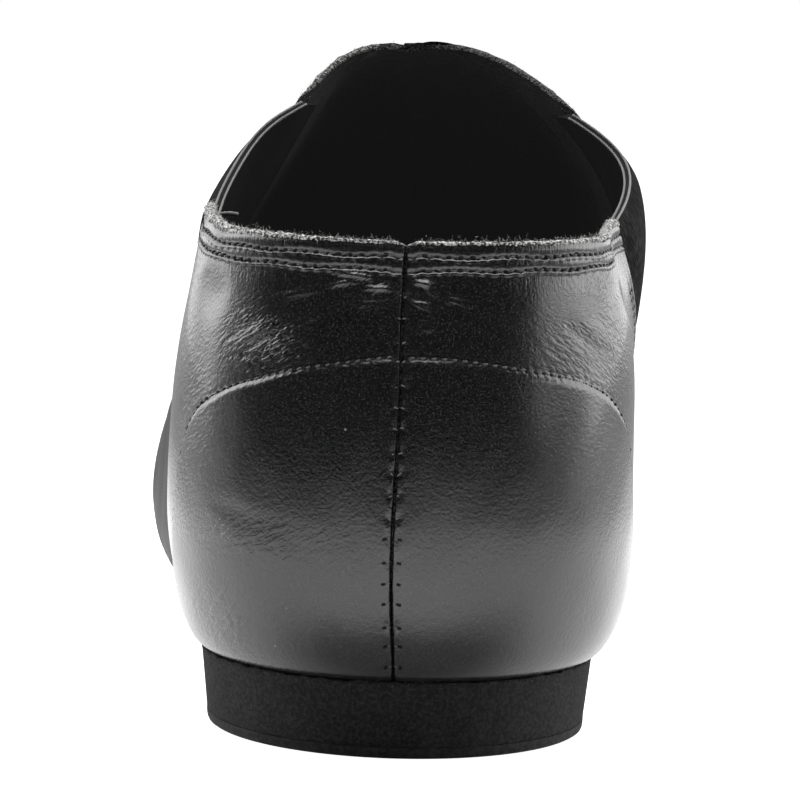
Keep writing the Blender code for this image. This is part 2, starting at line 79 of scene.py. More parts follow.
# where the worn upper stands off its last: place across, along and up, the three spreads, outward amount, in mm
settled = (
    ((-33, 34, 63), (20, 15, 11), -0.80), ((-33, 29, 70.5), (20, 9, 2.5), -1.10), ((-33, 42, 17), (16, 25, 7), -0.75),
    ((-42, 150, 6), (12, 40, 4.5), -1.20), ((-21, 76, 85), (14, 14, 10), 2.45), ((-13, 89, 91), (9, 13, 9), 0.20),
    ((3, 95, 95), (9, 10, 8), -0.30), ((33, 38, 68), (20, 14, 10.5), -2.40), ((33, 40, 38), (16, 26, 16), -0.60),
    ((30, 66, 80), (14, 14, 8), 0.35), ((14, 89, 92), (9, 13, 9), 0.60), ((9, 94, 95), (7, 12, 8), 0.75),
)
sides = {"lateral": -1, "medial": 1}
home = np.array(last["home"])
lastRows = np.array(last["rows"])


def smoothThrough(xs, ys, x):
    # cubic through rows: each stretch is a Hermite curve whose end slopes are the rows' mean slopes
    xs, ys = np.asarray(xs, float), np.asarray(ys, float)
    slopes = np.gradient(ys, xs)
    x = np.clip(np.asarray(x, float), xs[0], xs[-1])
    left = np.clip(np.searchsorted(xs, x, side="right") - 1, 0, len(xs) - 2)
    span = xs[left + 1] - xs[left]
    u = (x - xs[left]) / span
    start = ys[left] * (1 + 2 * u) * (1 - u) ** 2 + slopes[left] * span * u * (1 - u) ** 2
    return start + ys[left + 1] * (3 - 2 * u) * u ** 2 - slopes[left + 1] * span * u ** 2 * (1 - u)


def softStep(x, start, end):
    # 0 before start, 1 after end, 3u^2 - 2u^3 between
    u = np.clip((np.asarray(x, float) - start) / (end - start), 0, 1)
    return u * u * (3 - 2 * u)


def unit(v):
    # each row made one long
    return v / np.maximum(np.linalg.norm(v, axis=-1, keepdims=True), 1e-12)


def bell(x, centre, width):
    # exp(-((x - centre) / width)^2)
    return np.exp(-((x - centre) / width) ** 2)


def section(column, y):
    # one column of the last's rows at the distance y from the heel
    return smoothThrough(lastRows[:, 0], lastRows[:, last["columns"].index(column)], y / last["length"])


def bed(y):
    # height of the foot bed: seat, drop through the waist, flat forefoot, then spring * u^2 at the toe
    share = np.asarray(y, float) / last["length"]
    drop = softStep(share, last["seatEnd"], last["flatStart"])
    rise = np.clip((share - last["flatEnd"]) / (1 - last["flatEnd"]), 0, None)
    return last["gap"] + last["heel"] * (1 - drop) + (last["sole"] + last["spring"] * rise ** 2) * drop


def levelOf(column, y):
    # bed + share of the instep height
    return bed(y) + section(column, y) * last["instep"]


def lastForm(side, s, t):
    # s: 0..1 elliptic heel, 1..2 straight middle, 2..3 elliptic toe; t: -2 floor middle, -1 feather edge,
    # 0 widest line, 1 crown. Half width = width * cos(up)^ridge - tuck * (1 - cos(down)), z by the sines.
    s, t = np.broadcast_arrays(np.asarray(s, float), np.asarray(t, float))
    sign, length, ball = sides[side], last["length"], last["ball"]
    cap, toe = last["heelCap"] * length, last["toe"] * length
    tuck = "tuck" if side == "lateral" else "waist"
    up, down = np.clip(t, 0, 1) * turn / 4, np.clip(-t, 0, 1) * turn / 4
    round1, round3 = np.clip(s, 0, 1) * turn / 4, np.clip(s - 2, 0, 1) * turn / 4
    inward, drawn = np.clip(2 + t, 0, 1), 1 - np.cos(down)
    widest = levelOf("widest", 0)
    rise = np.sin(up) * (levelOf("crown", 0) - widest)
    lean = last["lean"] * ball * (rise / (last["collar"] + bed(0) - widest)) ** last["leanPower"]
    reach = (cap - lean - section(tuck, 0) * ball * drawn) * inward
    nose = ((length - toe) * np.cos(up) - section(tuck, toe) * ball * drawn) * inward
    y = cap + (toe - cap) * np.clip(s - 1, 0, 1) - reach * np.cos(round1) * (s < 1) + nose * np.sin(round3)
    spine = section("spine", y) * ball
    half = (section(side, y) * ball - sign * spine) * np.cos(up) ** section("ridge", y)
    half = (half - section(tuck, y) * ball * drawn) * inward * np.sin(round1) * np.cos(round3)
    low = levelOf("widest", y)
    z = low + (levelOf("crown", y) - low) * np.sin(up) - (low - bed(y)) * np.sin(down)
    amount, along, level, spread = last["slack"][side]
    spread = spread * ball
    bulge = np.exp(-((y - along * length) / spread) ** 2 - ((z - bed(y) - level * last["instep"]) / spread) ** 2)
    half = half + amount * ball * bulge * np.sin(round1) * (1 - np.sin(up) ** last["slackFade"])
    return np.stack([spine + sign * half, y, z], -1) + home


def halve(low, high, before):
    # halving search, all places at once: before(place) is true from low up to the place that is sought
    for _ in range(30):
        middle = 0.5 * (low + high)
        short = before(middle)
        low, high = np.where(short, middle, low), np.where(short, high, middle)
    return 0.5 * (low + high)


def tAtHeight(side, s, z):
    # the t at which the wall over s reaches the height z
    return halve(np.zeros(np.shape(s)), np.ones(np.shape(s)), lambda t: lastForm(side, s, t)[..., 2] < z)


def sOfY(y):
    # s on the straight middle at the distance y from the heel
    cap, toe = last["heelCap"] * last["length"], last["toe"] * last["length"]
    return 1 + (np.asarray(y, float) - cap) / (toe - cap)


# cut edges of the panels, heights over the floor against the distance from the heel
cornerY, apexY, goreY, throatY = (last[k] * last["length"] for k in ("corner", "apex", "goreFront", "throat"))
apexZ = bed(apexY) + last["apexHeight"] * last["instep"]
tongueZ = bed(goreY) + last["tongueSide"] * last["instep"]


def climb(y, start, end, low, high, power):
    # low + (high - low) * u^power, u going from 0 at start to 1 at end
    return low + (high - low) * np.clip((y - start) / (end - start), 0, 1) ** power


def collarTop(y):
    # level, climbing by rise * (y / corner)^1.5
    return bed(0) + last["collar"] + last["collarRise"] * last["instep"] * (np.asarray(y, float) / cornerY) ** 1.5


def quarterFront(y):
    # from the collar's corner down to the apex of the gore
    return climb(y, cornerY, apexY, collarTop(cornerY), apexZ, last["quarterPower"])


def vampRear(y):
    # from the apex up to the side of the tongue
    return climb(y, apexY, goreY, apexZ, tongueZ, last["vampPower"])


# mesh helpers, all on whole arrays
def gridQuads(n, m, flip):
    # quads between neighbouring columns and rows of an n by m grid, turned over where flip is true
    a = (np.arange(n - 1)[:, None] * m + np.arange(m - 1)[None, :]).ravel()
    quads = np.stack([a, a + m, a + m + 1, a + 1], 1)
    return quads[:, ::-1] if flip else quads


def joinSheets(sheets):
    # one list of points, quads and fields from several, with points closer than a micron made one
    points, quads, fields, count = [], [], {}, 0
    for sheet in sheets:
        points.append(sheet["points"])
        quads.append(sheet["quads"] + count)
        count += len(sheet["points"])
        for key, value in sheet["fields"].items():
            fields.setdefault(key, []).append(value)
    points, quads = np.concatenate(points), np.concatenate(quads)
    keys = np.round(points / 1e-6).astype(np.int64)
    _, first, index = np.unique(keys, axis=0, return_index=True, return_inverse=True)
    quads = index.ravel()[quads]
    fields = {key: np.concatenate(value)[first] for key, value in fields.items()}
    return {"points": points[first], "quads": quads, "fields": fields, "index": index.ravel()}


def pointNormals(points, quads):
    # sum of the crossed diagonals of the quads round each point, made one long
    cross = np.cross(points[quads[:, 2]] - points[quads[:, 0]], points[quads[:, 3]] - points[quads[:, 1]])
    total = np.zeros_like(points)
    for corner in range(4):
        np.add.at(total, quads[:, corner], cross)
    return total / np.maximum(np.linalg.norm(total, axis=1, keepdims=True), 1e-15)


def shellOf(sheet, outer, inner):
    # closed shell: outer and inner skin of the same quads, joined by a wall along every free edge
    quads, count = sheet["quads"], len(outer)
    edges = np.concatenate([quads[:, [k, (k + 1) % 4]] for k in range(4)])
    edges = edges[edges[:, 0] != edges[:, 1]]
    _, index, uses = np.unique(np.sort(edges, 1), axis=0, return_inverse=True, return_counts=True)
    free = edges[uses[index.ravel()] == 1]
    rim = np.stack([free[:, 1], free[:, 0], free[:, 0] + count, free[:, 1] + count], 1)
    faces = np.concatenate([quads, quads[:, ::-1] + count, rim])
    kinds = np.repeat([0, 1, 2], [len(quads), len(quads), len(rim)])
    fields = {key: np.concatenate([value, value]) for key, value in sheet["fields"].items()}
    return np.concatenate([outer, inner]), faces, kinds, fields


def newPiece(name, points, faces, materials, kinds=None, fields=None, sharp=48, body="root"):
    # mesh from arrays; a quad with two corners in one point becomes a triangle
    same = np.stack([faces[:, k] == faces[:, (k + 1) % 4] for k in range(4)], 1)
    whole, thin = same.sum(1) == 0, same.sum(1) == 1
    lists = faces[whole].tolist()
    order = np.argmax(same[thin], 1)
    picks = (order[:, None] + np.array([1, 2, 3])) % 4
    lists += np.take_along_axis(faces[thin], picks, 1).tolist()
    mesh = bpy.data.meshes.new(name)
    mesh.from_pydata(points.tolist(), [], lists)
    for material in materials:
        mesh.materials.append(material)
    if kinds is not None:
        mesh.polygons.foreach_set("material_index", np.concatenate([kinds[whole], kinds[thin]]).astype(np.int32))
    for key, value in (fields or {}).items():
        layer = mesh.attributes.new(key, "FLOAT", "POINT")
        layer.data.foreach_set("value", value.astype(np.float32))
    mesh.shade_smooth()
    if sharp:
        mesh.set_sharp_from_angle(angle=math.radians(sharp))
    piece = bpy.data.objects.new(name, mesh)
    bpy.context.scene.collection.objects.link(piece)
    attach(piece, body)
    print("piece:", name, len(mesh.loop_triangles) or len(lists) * 2, "triangles")
    return piece


def runAlong(path):
    # distance in mm along a path from its start
    return np.concatenate([[0], np.cumsum(np.linalg.norm(np.diff(path, axis=0), axis=1))]) / mm


def arcTable(side):
    # distance from the back seam round the widest line, in mm, against s
    s = np.linspace(0, 3, 3001)
    return s, runAlong(lastForm(side, s, 0.1))


def spaced(*stretches):
    # shares 0..1 of a line made of (length, step) stretches
    places, start = [0.0], 0.0
    for length, step in stretches:
        count = max(1, round(length / step))
        places.extend(start + length * np.arange(1, count + 1) / count)
        start += length
    return np.array(places) / start


def meetEdge(side, t, edge, low, high, rising):
    # the place along the shoe where the surface at t crosses a panel's edge
    return halve(np.full(np.shape(t), low), np.full(np.shape(t), high),
                 lambda y: (lastForm(side, sOfY(y), t)[..., 2] < edge(y)) ^ rising)


def openBelow(y):
    # 0 where the leather meets under the foot, up to 1 over the heel seat and the forefoot
    share, opened = np.asarray(y, float) / last["length"], 0
    for start, end in last["openBelow"]:
        u = np.clip((share - start) / (end - start), 0, 1)
        opened = np.maximum(opened, np.clip(4 * u * (1 - u), 0, 1) ** 0.35)
    return opened


def sideGrid(side, s, t):
    # surface of the last at s and t, with each point's measures in mm
    points = lastForm(side, s, t)
    steps = np.linalg.norm(np.diff(points, axis=0), axis=2)
    arc = np.concatenate([np.zeros((1, t.shape[1])), np.cumsum(steps, 0)]) / mm
    steps = np.linalg.norm(np.diff(points, axis=1), axis=2)
    drop = np.concatenate([np.cumsum(steps[:, ::-1], 1)[:, ::-1], np.zeros((len(t), 1))], 1) / mm
    fields = {"arc": arc, "fore": arc[-1] - arc, "drop": drop, "level": points[..., 2] / mm,
              "along": (points[..., 1] - home[1]) / mm}
    return {"grid": points, "points": points.reshape(-1, 3), "quads": gridQuads(*t.shape, sides[side] < 0),
            "fields": {key: value.ravel() for key, value in fields.items()}}


def lowerRows(under, beside):
    # t from the middle of the floor to the feather edge and on to the widest line, by (length, step) of each
    return spaced(under)[:-1] - 2, spaced(beside)[:-1] - 1


def seamEdge(side, t, edge, low, high, rising):
    # a panel's edge at each t, slanting forward below the foot of the gore, and how far below that foot t lies
    place = meetEdge(side, np.maximum(t, 0), edge, low, high, rising)
    foot = edge(apexY)
    below = foot - lastForm(side, sOfY(place), np.maximum(t, -1))[..., 2]
    return place + quarter["slant"] * mm * np.clip(below / foot, 0, 1), below


def panelGrid(side, s, under, beside, upper, rim):
    # all rows of a panel: those under the foot draw back where its floor is open, those above reach up to the rim
    shut = 1 - 0.42 * openBelow(lastForm(side, s[:, len(under) - 1], -1.0)[:, 1] - home[1])
    t = np.concatenate([-1 + (under + 1)[None, :] * shut[:, None], np.repeat(beside[None], len(s), 0),
                        upper[None, :] * rim[:, None]], 1)
    return sideGrid(side, s, t)


def settle(points):
    # sum over the rows of settled: amount * exp(-|(place - centre) / spread|^2)
    place = (points - home * [0, 1, 1]) / mm
    total = np.zeros(len(points))
    for centre, spread, amount in settled:
        total += amount * np.exp(-(((place - centre) / spread) ** 2).sum(1))
    return total


def foldField(fields, folds):
    # sum over folds of depth * exp(-(across / width)^2) * (1 - along^2)^2, along being -1 and 1 at the ends
    total = np.zeros(len(fields["arc"]))
    for arc0, level0, arc1, level1, width, depth in folds:
        centre = np.array([arc0 + arc1, level0 + level1]) / 2
        reach = np.array([arc1 - arc0, level1 - level0]) / 2
        size = np.hypot(*reach)
        du, dv = fields["arc"] - centre[0], fields["level"] - centre[1]
        along = (du * reach[0] + dv * reach[1]) / size ** 2
        across = (dv * reach[0] - du * reach[1]) / size
        total += depth * np.exp(-(across / width) ** 2) * np.clip(1 - along ** 2, 0, None) ** 2
    return total


def waves(fields, parts):
    # sum of size * sin(turn * (arc / lengthA + level / lengthB) + phase)
    return sum(size * np.sin(turn * (fields["arc"] / a + fields["level"] / b) + phase) for size, a, b, phase in parts)


def lineDistance(arc, level, line):
    # signed distance in mm to a line of (arc, level) rows, positive below it, and the place along the line
    u = np.linspace(line[0][0], line[-1][0], 400)
    rows = np.array(line, float)
    v = smoothThrough(rows[:, 0], rows[:, 1], u)
    run = np.concatenate([[0], np.cumsum(np.hypot(np.diff(u), np.diff(v)))])
    near = np.empty(len(arc), int)
    for start in range(0, len(arc), 8000):          # blocks keep the table of distances small
        block = slice(start, start + 8000)
        near[block] = np.argmin((arc[block, None] - u) ** 2 + (level[block, None] - v) ** 2, 1)
    slopeU, slopeV = np.gradient(u), np.gradient(v)
    size = np.hypot(slopeU, slopeV)
    du, dv = arc - u[near], level - v[near]
    return (du * slopeV[near] - dv * slopeU[near]) / size[near], run[near]


# quarters: from the back seam to the side seam below the gore
stitch = {"radius": 0.15, "collarPitch": 1.6, "counterPitch": 1.42, "share": 0.66, "crossPitch": 2.86, "cross": 0.68}
crossings = np.arange(13.0, 62.0, stitch["crossPitch"])
stitchLevels = crossings + 0.18 * np.sin(np.arange(len(crossings)) * 2.4)       # heights of the back seam's stitches
quarter = {
    "wall": 1.4, "skived": 0.7,       # mm, leather with lining; the same at the back seam and the front edge
    "cornerRise": {"lateral": 0.9, "medial": 0.3},    # mm, how far the collar's front corners stand up
    "riseFrom": {"lateral": (17, 30), "medial": (32, 47)},
    "notch": (0.30, 1.2),             # dip of the collar at the back seam: depth, half width
    "slant": 5.0,                     # mm, how far the side seam runs forward down to the sole
    # mesh, as lengths and steps in mm: round the heel, under the foot, up to the widest line, up to the collar
    "columns": ((1.5, 0.125), (3.0, 0.3), (78.0, 0.44), (3.0, 0.4)),
    "under": (20, 1.4), "beside": (23, 0.6), "upper": ((36.4, 0.6), (10.2, 0.19)),
    "crack": (0.55, 0.21), "valley": (0.24, 0.60),    # the back seam, and a soft hollow medially: depth, half width
    "seamBow": ((9, 0.0), (13, -0.1), (23.5, -0.62), (32, -0.64), (40.5, -0.40), (48.3, -0.22), (58.5, -0.30),
                (70, 0.0)),           # height and sideways place of the back seam
    "drawnIn": (0.13, 0.45), "puffed": (0.02, 0.6),   # at a cross stitch and between two: depth, half height
    "counterRaise": 0.36, "counterStep": 1.1,
    "counterRow": (0.15, 0.34), "counterBeat": 0.09,  # the sunk stitch row: depth, half width, what each stitch adds
    "counterLip": (0.03, 0.30), "lipBeat": 0.04,      # the raised lip above it
    "rowPlace": (0.20, 0.14), "lipPlace": (-0.45, 0.12),      # their distances below the line, and the beat's share
    "collarRows": ((1.8, 0.22), (3.6, 0.26)),         # stitch rows below the collar's edge: place, depth
    "collarLip": (0.13, 0.20), "collarWelt": (0.10, 0.5),
    "collarRowHalf": 0.24, "lipBelow": 0.46, "rowDrift": (0.12, 0.07), "collarBeat": 0.05,
    "wrinkleSlope": (28, 88),         # degrees, and how far it turns back at the medial corner
    "frontRows": (1.6, 3.6),          # stitch rows behind the front edge
    "frontRow": (0.14, 0.4), "frontRaise": 0.30,
    "counterLine": {
        "lateral": ((0, 54.2), (3.3, 53.7), (10, 52.6), (14.9, 51.7), (20.6, 50.2), (25.4, 48.9), (29.1, 47.5),
                    (34.2, 45.0), (37.3, 42.2), (39.8, 38.4), (41.6, 34.0), (43.6, 27.0), (46.2, 18.0), (50.0, 8.0)),
        "medial": ((0, 54.0), (7.7, 53.7), (13.7, 52.9), (21.0, 51.8), (29.4, 50.0), (34.9, 48.0), (38.9, 45.7),
                   (43.4, 42.0), (46.6, 37.5), (49.4, 31.0), (52.0, 23.0), (54.4, 15.0), (57.0, 6.0)),
    },
    "waves": ((0.09, 53.0, 41.0, 0.4), (0.05, 37.0, -47.0, 1.9), (0.014, 13.3, 19.0, 4.0), (0.008, -8.9, 10.1, 2.2)),
}


def quarterSheet(side):
    # rows: under the foot, up to the widest line, up to the collar; columns: shares of the arc to the front edge
    w = spaced(*quarter["columns"])
    s, arc = arcTable(side)
    rimArc = w * np.interp(sOfY(cornerY), s, arc)
    topS = np.interp(rimArc, arc, s)
    along = lastForm(side, topS, 0.25)[:, 1] - home[1]
    rise = quarter["cornerRise"][side] * softStep(along / mm, *quarter["riseFrom"][side])
    rise -= quarter["notch"][0] * bell(rimArc, 0, quarter["notch"][1])
    rim = tAtHeight(side, topS, collarTop(along) + rise * mm)
    under, beside = lowerRows(quarter["under"], quarter["beside"])
    upper = spaced(*quarter["upper"])
    frontT = np.concatenate([under, beside, upper * rim[-1]])
    front, _ = seamEdge(side, frontT, quarterFront, cornerY, apexY, False)
    s2 = np.interp(w[:, None] * np.interp(sOfY(front), s, arc)[None, :], arc, s)
    return panelGrid(side, s2, under, beside, upper, rim)


def counterRelief(line, run):
    # the counter's step, and its stitch row as a sunk line with a lip, both beating once a stitch along the run
    beat = np.sin(run * turn / stitch["counterPitch"] + 0.8 * np.sin(run / 3.1))
    (deep, half), (high, lipHalf) = quarter["counterRow"], quarter["counterLip"]
    relief = quarter["counterRaise"] * softStep(line, -0.2, quarter["counterStep"])
    (row, rowShare), (lip, lipShare) = quarter["rowPlace"], quarter["lipPlace"]
    relief -= (deep + quarter["counterBeat"] * beat) * bell(line, row + rowShare * beat, half)
    return relief + (high + quarter["lipBeat"] * beat) * bell(line, lip + lipShare * beat, lipHalf)


def seamRelief(arc, level, side):
    # the crack of the back seam, -depth * exp(-(arc / half)^2), drawn in at each cross stitch
    depth, half = quarter["crack"]
    half = half * (1 + 0.25 * np.sin(level * 1.9) * np.sin(level * 0.71 + 1))
    relief = -depth * np.exp(-(arc / half) ** 2) * softStep(level, 9, 12)
    if side == "medial":
        depth, half = quarter["valley"]
        relief -= depth * np.exp(-(arc / half) ** 2) * softStep(level, 22, 42)
    (deep, reach), (high, spread) = quarter["drawnIn"], quarter["puffed"]
    for place in stitchLevels:
        relief -= deep * bell(level, place, reach) * bell(arc, 0.62, 0.36)
        relief += high * bell(level, place - 0.9, spread) * bell(arc, 0.9, 0.6)
    return relief


def collarRelief(arc, drop):
    # each stitch row below the collar as a sunk line and a lip, beating once a stitch; a soft welt between and above
    (high, half), (slow, quick) = quarter["collarLip"], quarter["rowDrift"]
    relief = np.zeros(len(arc))
    for row, strength in quarter["collarRows"]:
        beat = np.sin(arc * turn / stitch["collarPitch"] + 1.9 * np.sin(arc / 2.3 + row) + row)
        drift = slow * np.sin(arc / 1.9 + 2 * row) + quick * beat
        relief -= strength * bell(drop, row + drift, quarter["collarRowHalf"])
        relief += (high + quarter["collarBeat"] * beat) * bell(drop, row + quarter["lipBelow"] + drift, half)
    (first, _), (second, _) = quarter["collarRows"]
    high, half = quarter["collarWelt"]
    return relief + high * (bell(drop, (first + second) / 2, half) + bell(drop, 0.8, half))


def frontRelief(fore, level):
    # two sunk stitch rows behind the front edge, which stands up a little below the gore
    deep, half = quarter["frontRow"]
    rows = sum(bell(fore, row, half) for row in quarter["frontRows"])
    raised = quarter["frontRaise"] * softStep(fore, 9, 2) * (1 - softStep(level, 36, 42))
    return raised - deep * rows * softStep(level, 64, 58)


def makeQuarter(side, materials):
    sheet = quarterSheet(side)
    f, base = sheet["fields"], sheet["points"]
    arc, level = f["arc"], f["level"]
    normals, stand = pointNormals(base, sheet["quads"]), settle(base)
    line, run = lineDistance(arc, level, quarter["counterLine"][side])
    offset = seamRelief(arc, level, side) + counterRelief(line, run) * softStep(level, 9, 12)
    offset += collarRelief(arc, f["drop"]) + frontRelief(f["fore"], level)
    offset += waves(f, quarter["waves"]) * softStep(level, 12, 20) * softStep(arc, 0, 4)
    offset += foldField(f, folds[side]) + stand
    bow = np.array(quarter["seamBow"])
    base = base.copy()
    base[:, 0] += smoothThrough(bow[:, 0], bow[:, 1], level) * mm * np.exp(-(arc / 9) ** 2)
    outer = base + normals * (offset * mm)[:, None]
    thin, full = quarter["skived"], quarter["wall"]
    wall = thin + (full - thin) * softStep(arc, 0.2, 3) * softStep(f["fore"], 0, 3)
    inner = base + normals * ((np.maximum(offset, stand - 0.25) - wall) * mm)[:, None]
    f["line"], f["crinkle"] = line, crinkleField(f, crinkles[side])
    slope, turnedBack = (math.radians(angle) for angle in quarter["wrinkleSlope"])
    if side == "medial":                                         # smooth on the counter, and steep at the corner
        f["crinkle"] = f["crinkle"] * (1 - 0.8 * softStep(line, -0.6, 1.0))
        slope = slope - turnedBack * softStep(level, 58, 63) * softStep(arc, 18, 27)
    u, v = arc - 34, level - 60
    f["crinkleAcross"] = u * np.sin(slope) + v * np.cos(slope)
    f["crinkleAlong"] = u * np.cos(slope) - v * np.sin(slope)
    points, faces, kinds, fields = shellOf(sheet, outer, inner)
    piece = newPiece("quarter" + side.capitalize(), points, faces, materials, kinds, fields)
    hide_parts("upper")
    return sheet, outer, normals


def crinkleField(fields, patches):
    # largest over the patches of amount * exp(-((arc - a) / reach)^2 - ((level - b) / height)^2)
    shares = [amount * np.exp(-((fields["arc"] - a) / reach) ** 2 - ((fields["level"] - b) / height) ** 2)
              for a, b, reach, height, amount in patches]
    return np.max(shares, axis=0)


# finely wrinkled patches: arc, level, reach along and up in mm, amount
crinkles = {
    "lateral": ((20.5, 55.0, 8.0, 4.0, 0.75), (22.0, 29.0, 13.0, 3.5, 0.45), (5.0, 62.5, 6.0, 3.2, 0.5),
                (27.0, 16.0, 10.0, 6.0, 0.45), (36.0, 45.0, 6.0, 14.0, 0.3)),
    "medial": ((31.0, 54.5, 10.0, 5.5, 1.0), (34.0, 63.0, 6.0, 5.0, 0.85), (4.0, 61.5, 5.0, 3.5, 0.4),
               (26.0, 20.0, 13.0, 6.0, 0.25), (36.0, 38.0, 6.0, 14.0, 0.3)),
}
# soft creases: arc, level of both ends, half width, depth, all in mm
folds = {
    "lateral": (
        (2.4, 63.7, 11.5, 64.6, 0.42, 0.34), (0.6, 62.6, 6.0, 62.4, 0.34, 0.26), (1.0, 60.6, 8.5, 60.4, 0.30, 0.22),
        (5.5, 63.6, 11.0, 62.4, 0.35, 0.24), (9.0, 62.6, 20.0, 60.2, 0.5, 0.16), (8.0, 60.8, 15.0, 57.0, 0.4, 0.12),
        (14.5, 57.9, 26.5, 51.5, 0.9, -0.14), (16.5, 58.5, 27.5, 53.0, 0.8, 0.10), (19.0, 58.6, 28.5, 54.2, 0.7, -0.09),
        (12.0, 30.0, 33.0, 33.5, 1.4, -0.08), (14.0, 26.5, 30.0, 29.5, 1.2, 0.07),
        (6.5, 12.0, 9.0, 21.0, 0.9, -0.07), (10.0, 12.5, 11.5, 19.0, 0.8, 0.05),
        (0.6, 57.0, 5.5, 55.6, 0.35, 0.08), (26.0, 63.0, 37.0, 57.0, 2.4, -0.22), (30.0, 66.0, 40.0, 61.5, 1.6, 0.16),
    ),
    "medial": (
        (0.8, 63.6, 3.8, 63.0, 0.30, 0.26), (2.8, 64.4, 3.6, 61.6, 0.30, 0.24), (0.6, 60.9, 5.0, 60.2, 0.30, 0.26),
        (0.6, 58.0, 6.0, 57.2, 0.28, 0.24), (3.5, 62.0, 11.0, 60.2, 0.4, 0.12), (4.0, 60.0, 12.0, 57.0, 0.4, 0.12),
        (22.0, 59.0, 36.0, 51.5, 0.9, -0.12), (25.0, 59.8, 38.0, 53.5, 0.8, 0.10), (28.0, 60.0, 39.0, 55.5, 0.7, -0.08),
        (0.8, 63.9, 5.0, 62.9, 0.3, 0.10), (1.0, 59.6, 6.0, 57.4, 0.3, 0.10),
        (40.0, 66.0, 50.0, 60.5, 1.2, 0.20), (42.0, 62.5, 53.0, 56.5, 1.3, -0.18), (43.0, 59.0, 54.0, 53.0, 1.2, 0.14),
    ),
}

# vamp with its tongue: from the side seams to the toe, both sides in one
vamp = {
    "wall": 1.4, "skived": 0.7, "overlap": 4.0, "tonguePower": 0.8,
    # mesh, as lengths and steps in mm: from the seam to the toe, under the foot, up to the widest line, to the top
    "columns": ((2.4, 0.5), (26.0, 0.8), (88.0, 1.3), (58.0, 1.2)),
    "under": (14, 1.2), "beside": (22, 1.1), "upper": ((34, 0.9), (54, 0.95), (4, 0.5)),
    "tongueRow": (0.16, 2.0, 0.5),    # stitch row below the tongue's edge: depth, place, half width
    "sideRows": (0.14, 1.6, 3.6, 0.45),               # beside the gore: depth, two places, half width
    "tuckedIn": 0.55,                 # mm, under the quarter
    "waves": ((0.16, 41.0, 53.0, 0.9), (0.10, 27.0, -37.0, 2.6), (0.06, 15.0, 22.0, 5.0)),
    # flex creases over the ball: place along, half width along, depth
    "flex": ((118.0, 2.6, -0.30), (126.0, 2.2, 0.18), (134.0, 2.4, -0.34), (142.0, 2.0, 0.20), (150.0, 2.2, -0.26),
             (158.0, 2.0, 0.12)),
}


def vampSheet():
    # a grid for each side, columns from the side seam to the toe, both ending in the same middle line
    halves = []
    w = spaced(*vamp["columns"])
    under, beside = lowerRows(vamp["under"], vamp["beside"])
    upper = spaced(*vamp["upper"])
    for side in sides:
        s, arc = arcTable(side)
        rearTop = float(tAtHeight(side, sOfY(goreY), vampRear(goreY)))
        rearT = np.concatenate([under, beside, upper * rearTop])
        rear, below = seamEdge(side, rearT, vampRear, apexY, goreY, True)
        rear -= vamp["overlap"] * mm * softStep(below, -2 * mm, 6 * mm)
        start = np.interp(sOfY(rear), s, arc)
        s2 = np.interp(start[None, :] + w[:, None] * (arc[-1] - start)[None, :], arc, s)
        s2[-1] = 3.0
        topS = s2[:, -1]
        topY = lastForm(side, topS, 0.9)[:, 1] - home[1]
        closed = topS >= sOfY(throatY)
        top = climb(topY, goreY, throatY, tongueZ, levelOf("crown", throatY), vamp["tonguePower"])
        rim = np.where(closed, 1.0, tAtHeight(side, topS, np.where(closed, 0, top)))
        halves.append(panelGrid(side, s2, under, beside, upper, rim))
    toeLine = 0.5 * (halves[0]["grid"][-1] + halves[1]["grid"][-1])
    for half in halves:
        half["grid"][-1] = toeLine
        half["points"] = half["grid"].reshape(-1, 3)
    return halves


def makeVamp(materials):
    halves = vampSheet()
    sheet = joinSheets(halves)
    f, base = sheet["fields"], sheet["points"]
    arc, level, along = f["arc"], f["level"], f["along"]
    normals = pointNormals(base, sheet["quads"])
    middle = section("spine", base[:, 1] - home[1]) * last["ball"] + home[0]
    crown = bell(base[:, 0], middle, 5 * mm) * softStep(level, 84, 90)
    normals = unit(normals * (1 - crown)[:, None] + np.array([0, -0.35, 0.94]) * crown[:, None])
    offset = waves(f, vamp["waves"]) * softStep(level, 8, 20)
    for place, width, depth in vamp["flex"]:
        offset += depth * bell(along + 3 * np.sin(level / 9), place, width) * softStep(level, 18, 34)
    offset -= vamp["tuckedIn"] * softStep(level, 44, 38) * softStep(arc, 6, 3)
    deep, first, second, half = vamp["sideRows"]
    offset -= deep * (bell(arc, first, half) + bell(arc, second, half)) * softStep(level, 36, 44)
    tongue = softStep(along, 104, 92)
    deep, row, half = vamp["tongueRow"]
    offset -= deep * bell(f["drop"], row, half) * tongue
    relief, stand = np.clip(offset, -0.3, 0.3), settle(base)
    outer = base + normals * ((offset + stand) * mm)[:, None]
    wall = vamp["skived"] + (vamp["wall"] - vamp["skived"]) * softStep(arc, 0, 5)
    wall -= 0.5 * softStep(f["drop"], 7, 1) * tongue
    inner = base + normals * ((relief + stand - wall) * mm)[:, None]
    points, faces, kinds, fields = shellOf(sheet, outer, inner)
    piece = newPiece("vamp", points, faces, materials, kinds, fields)
    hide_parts("upper")
    start = 0
    for half in halves:
        place = sheet["index"][start:start + len(half["points"])]
        half.update(outer=outer[place], inner=inner[place], normals=normals[place])
        start += len(half["points"])
    return halves


# gores: doubled elastic in the V between quarter and vamp, in mm
gore = {
    "thick": 1.1, "sewn": 0.85, "free": 0.15, "margin": 3.0, "rib": 0.62, "turnedIn": 0.7,
    "bulge": {"lateral": 1.1, "medial": 0.35}, "rise": {"lateral": 1.0, "medial": 1.2},
    "columns": ((34, 0.3),), "rows": ((30, 0.6), (3, 0.3)),
}


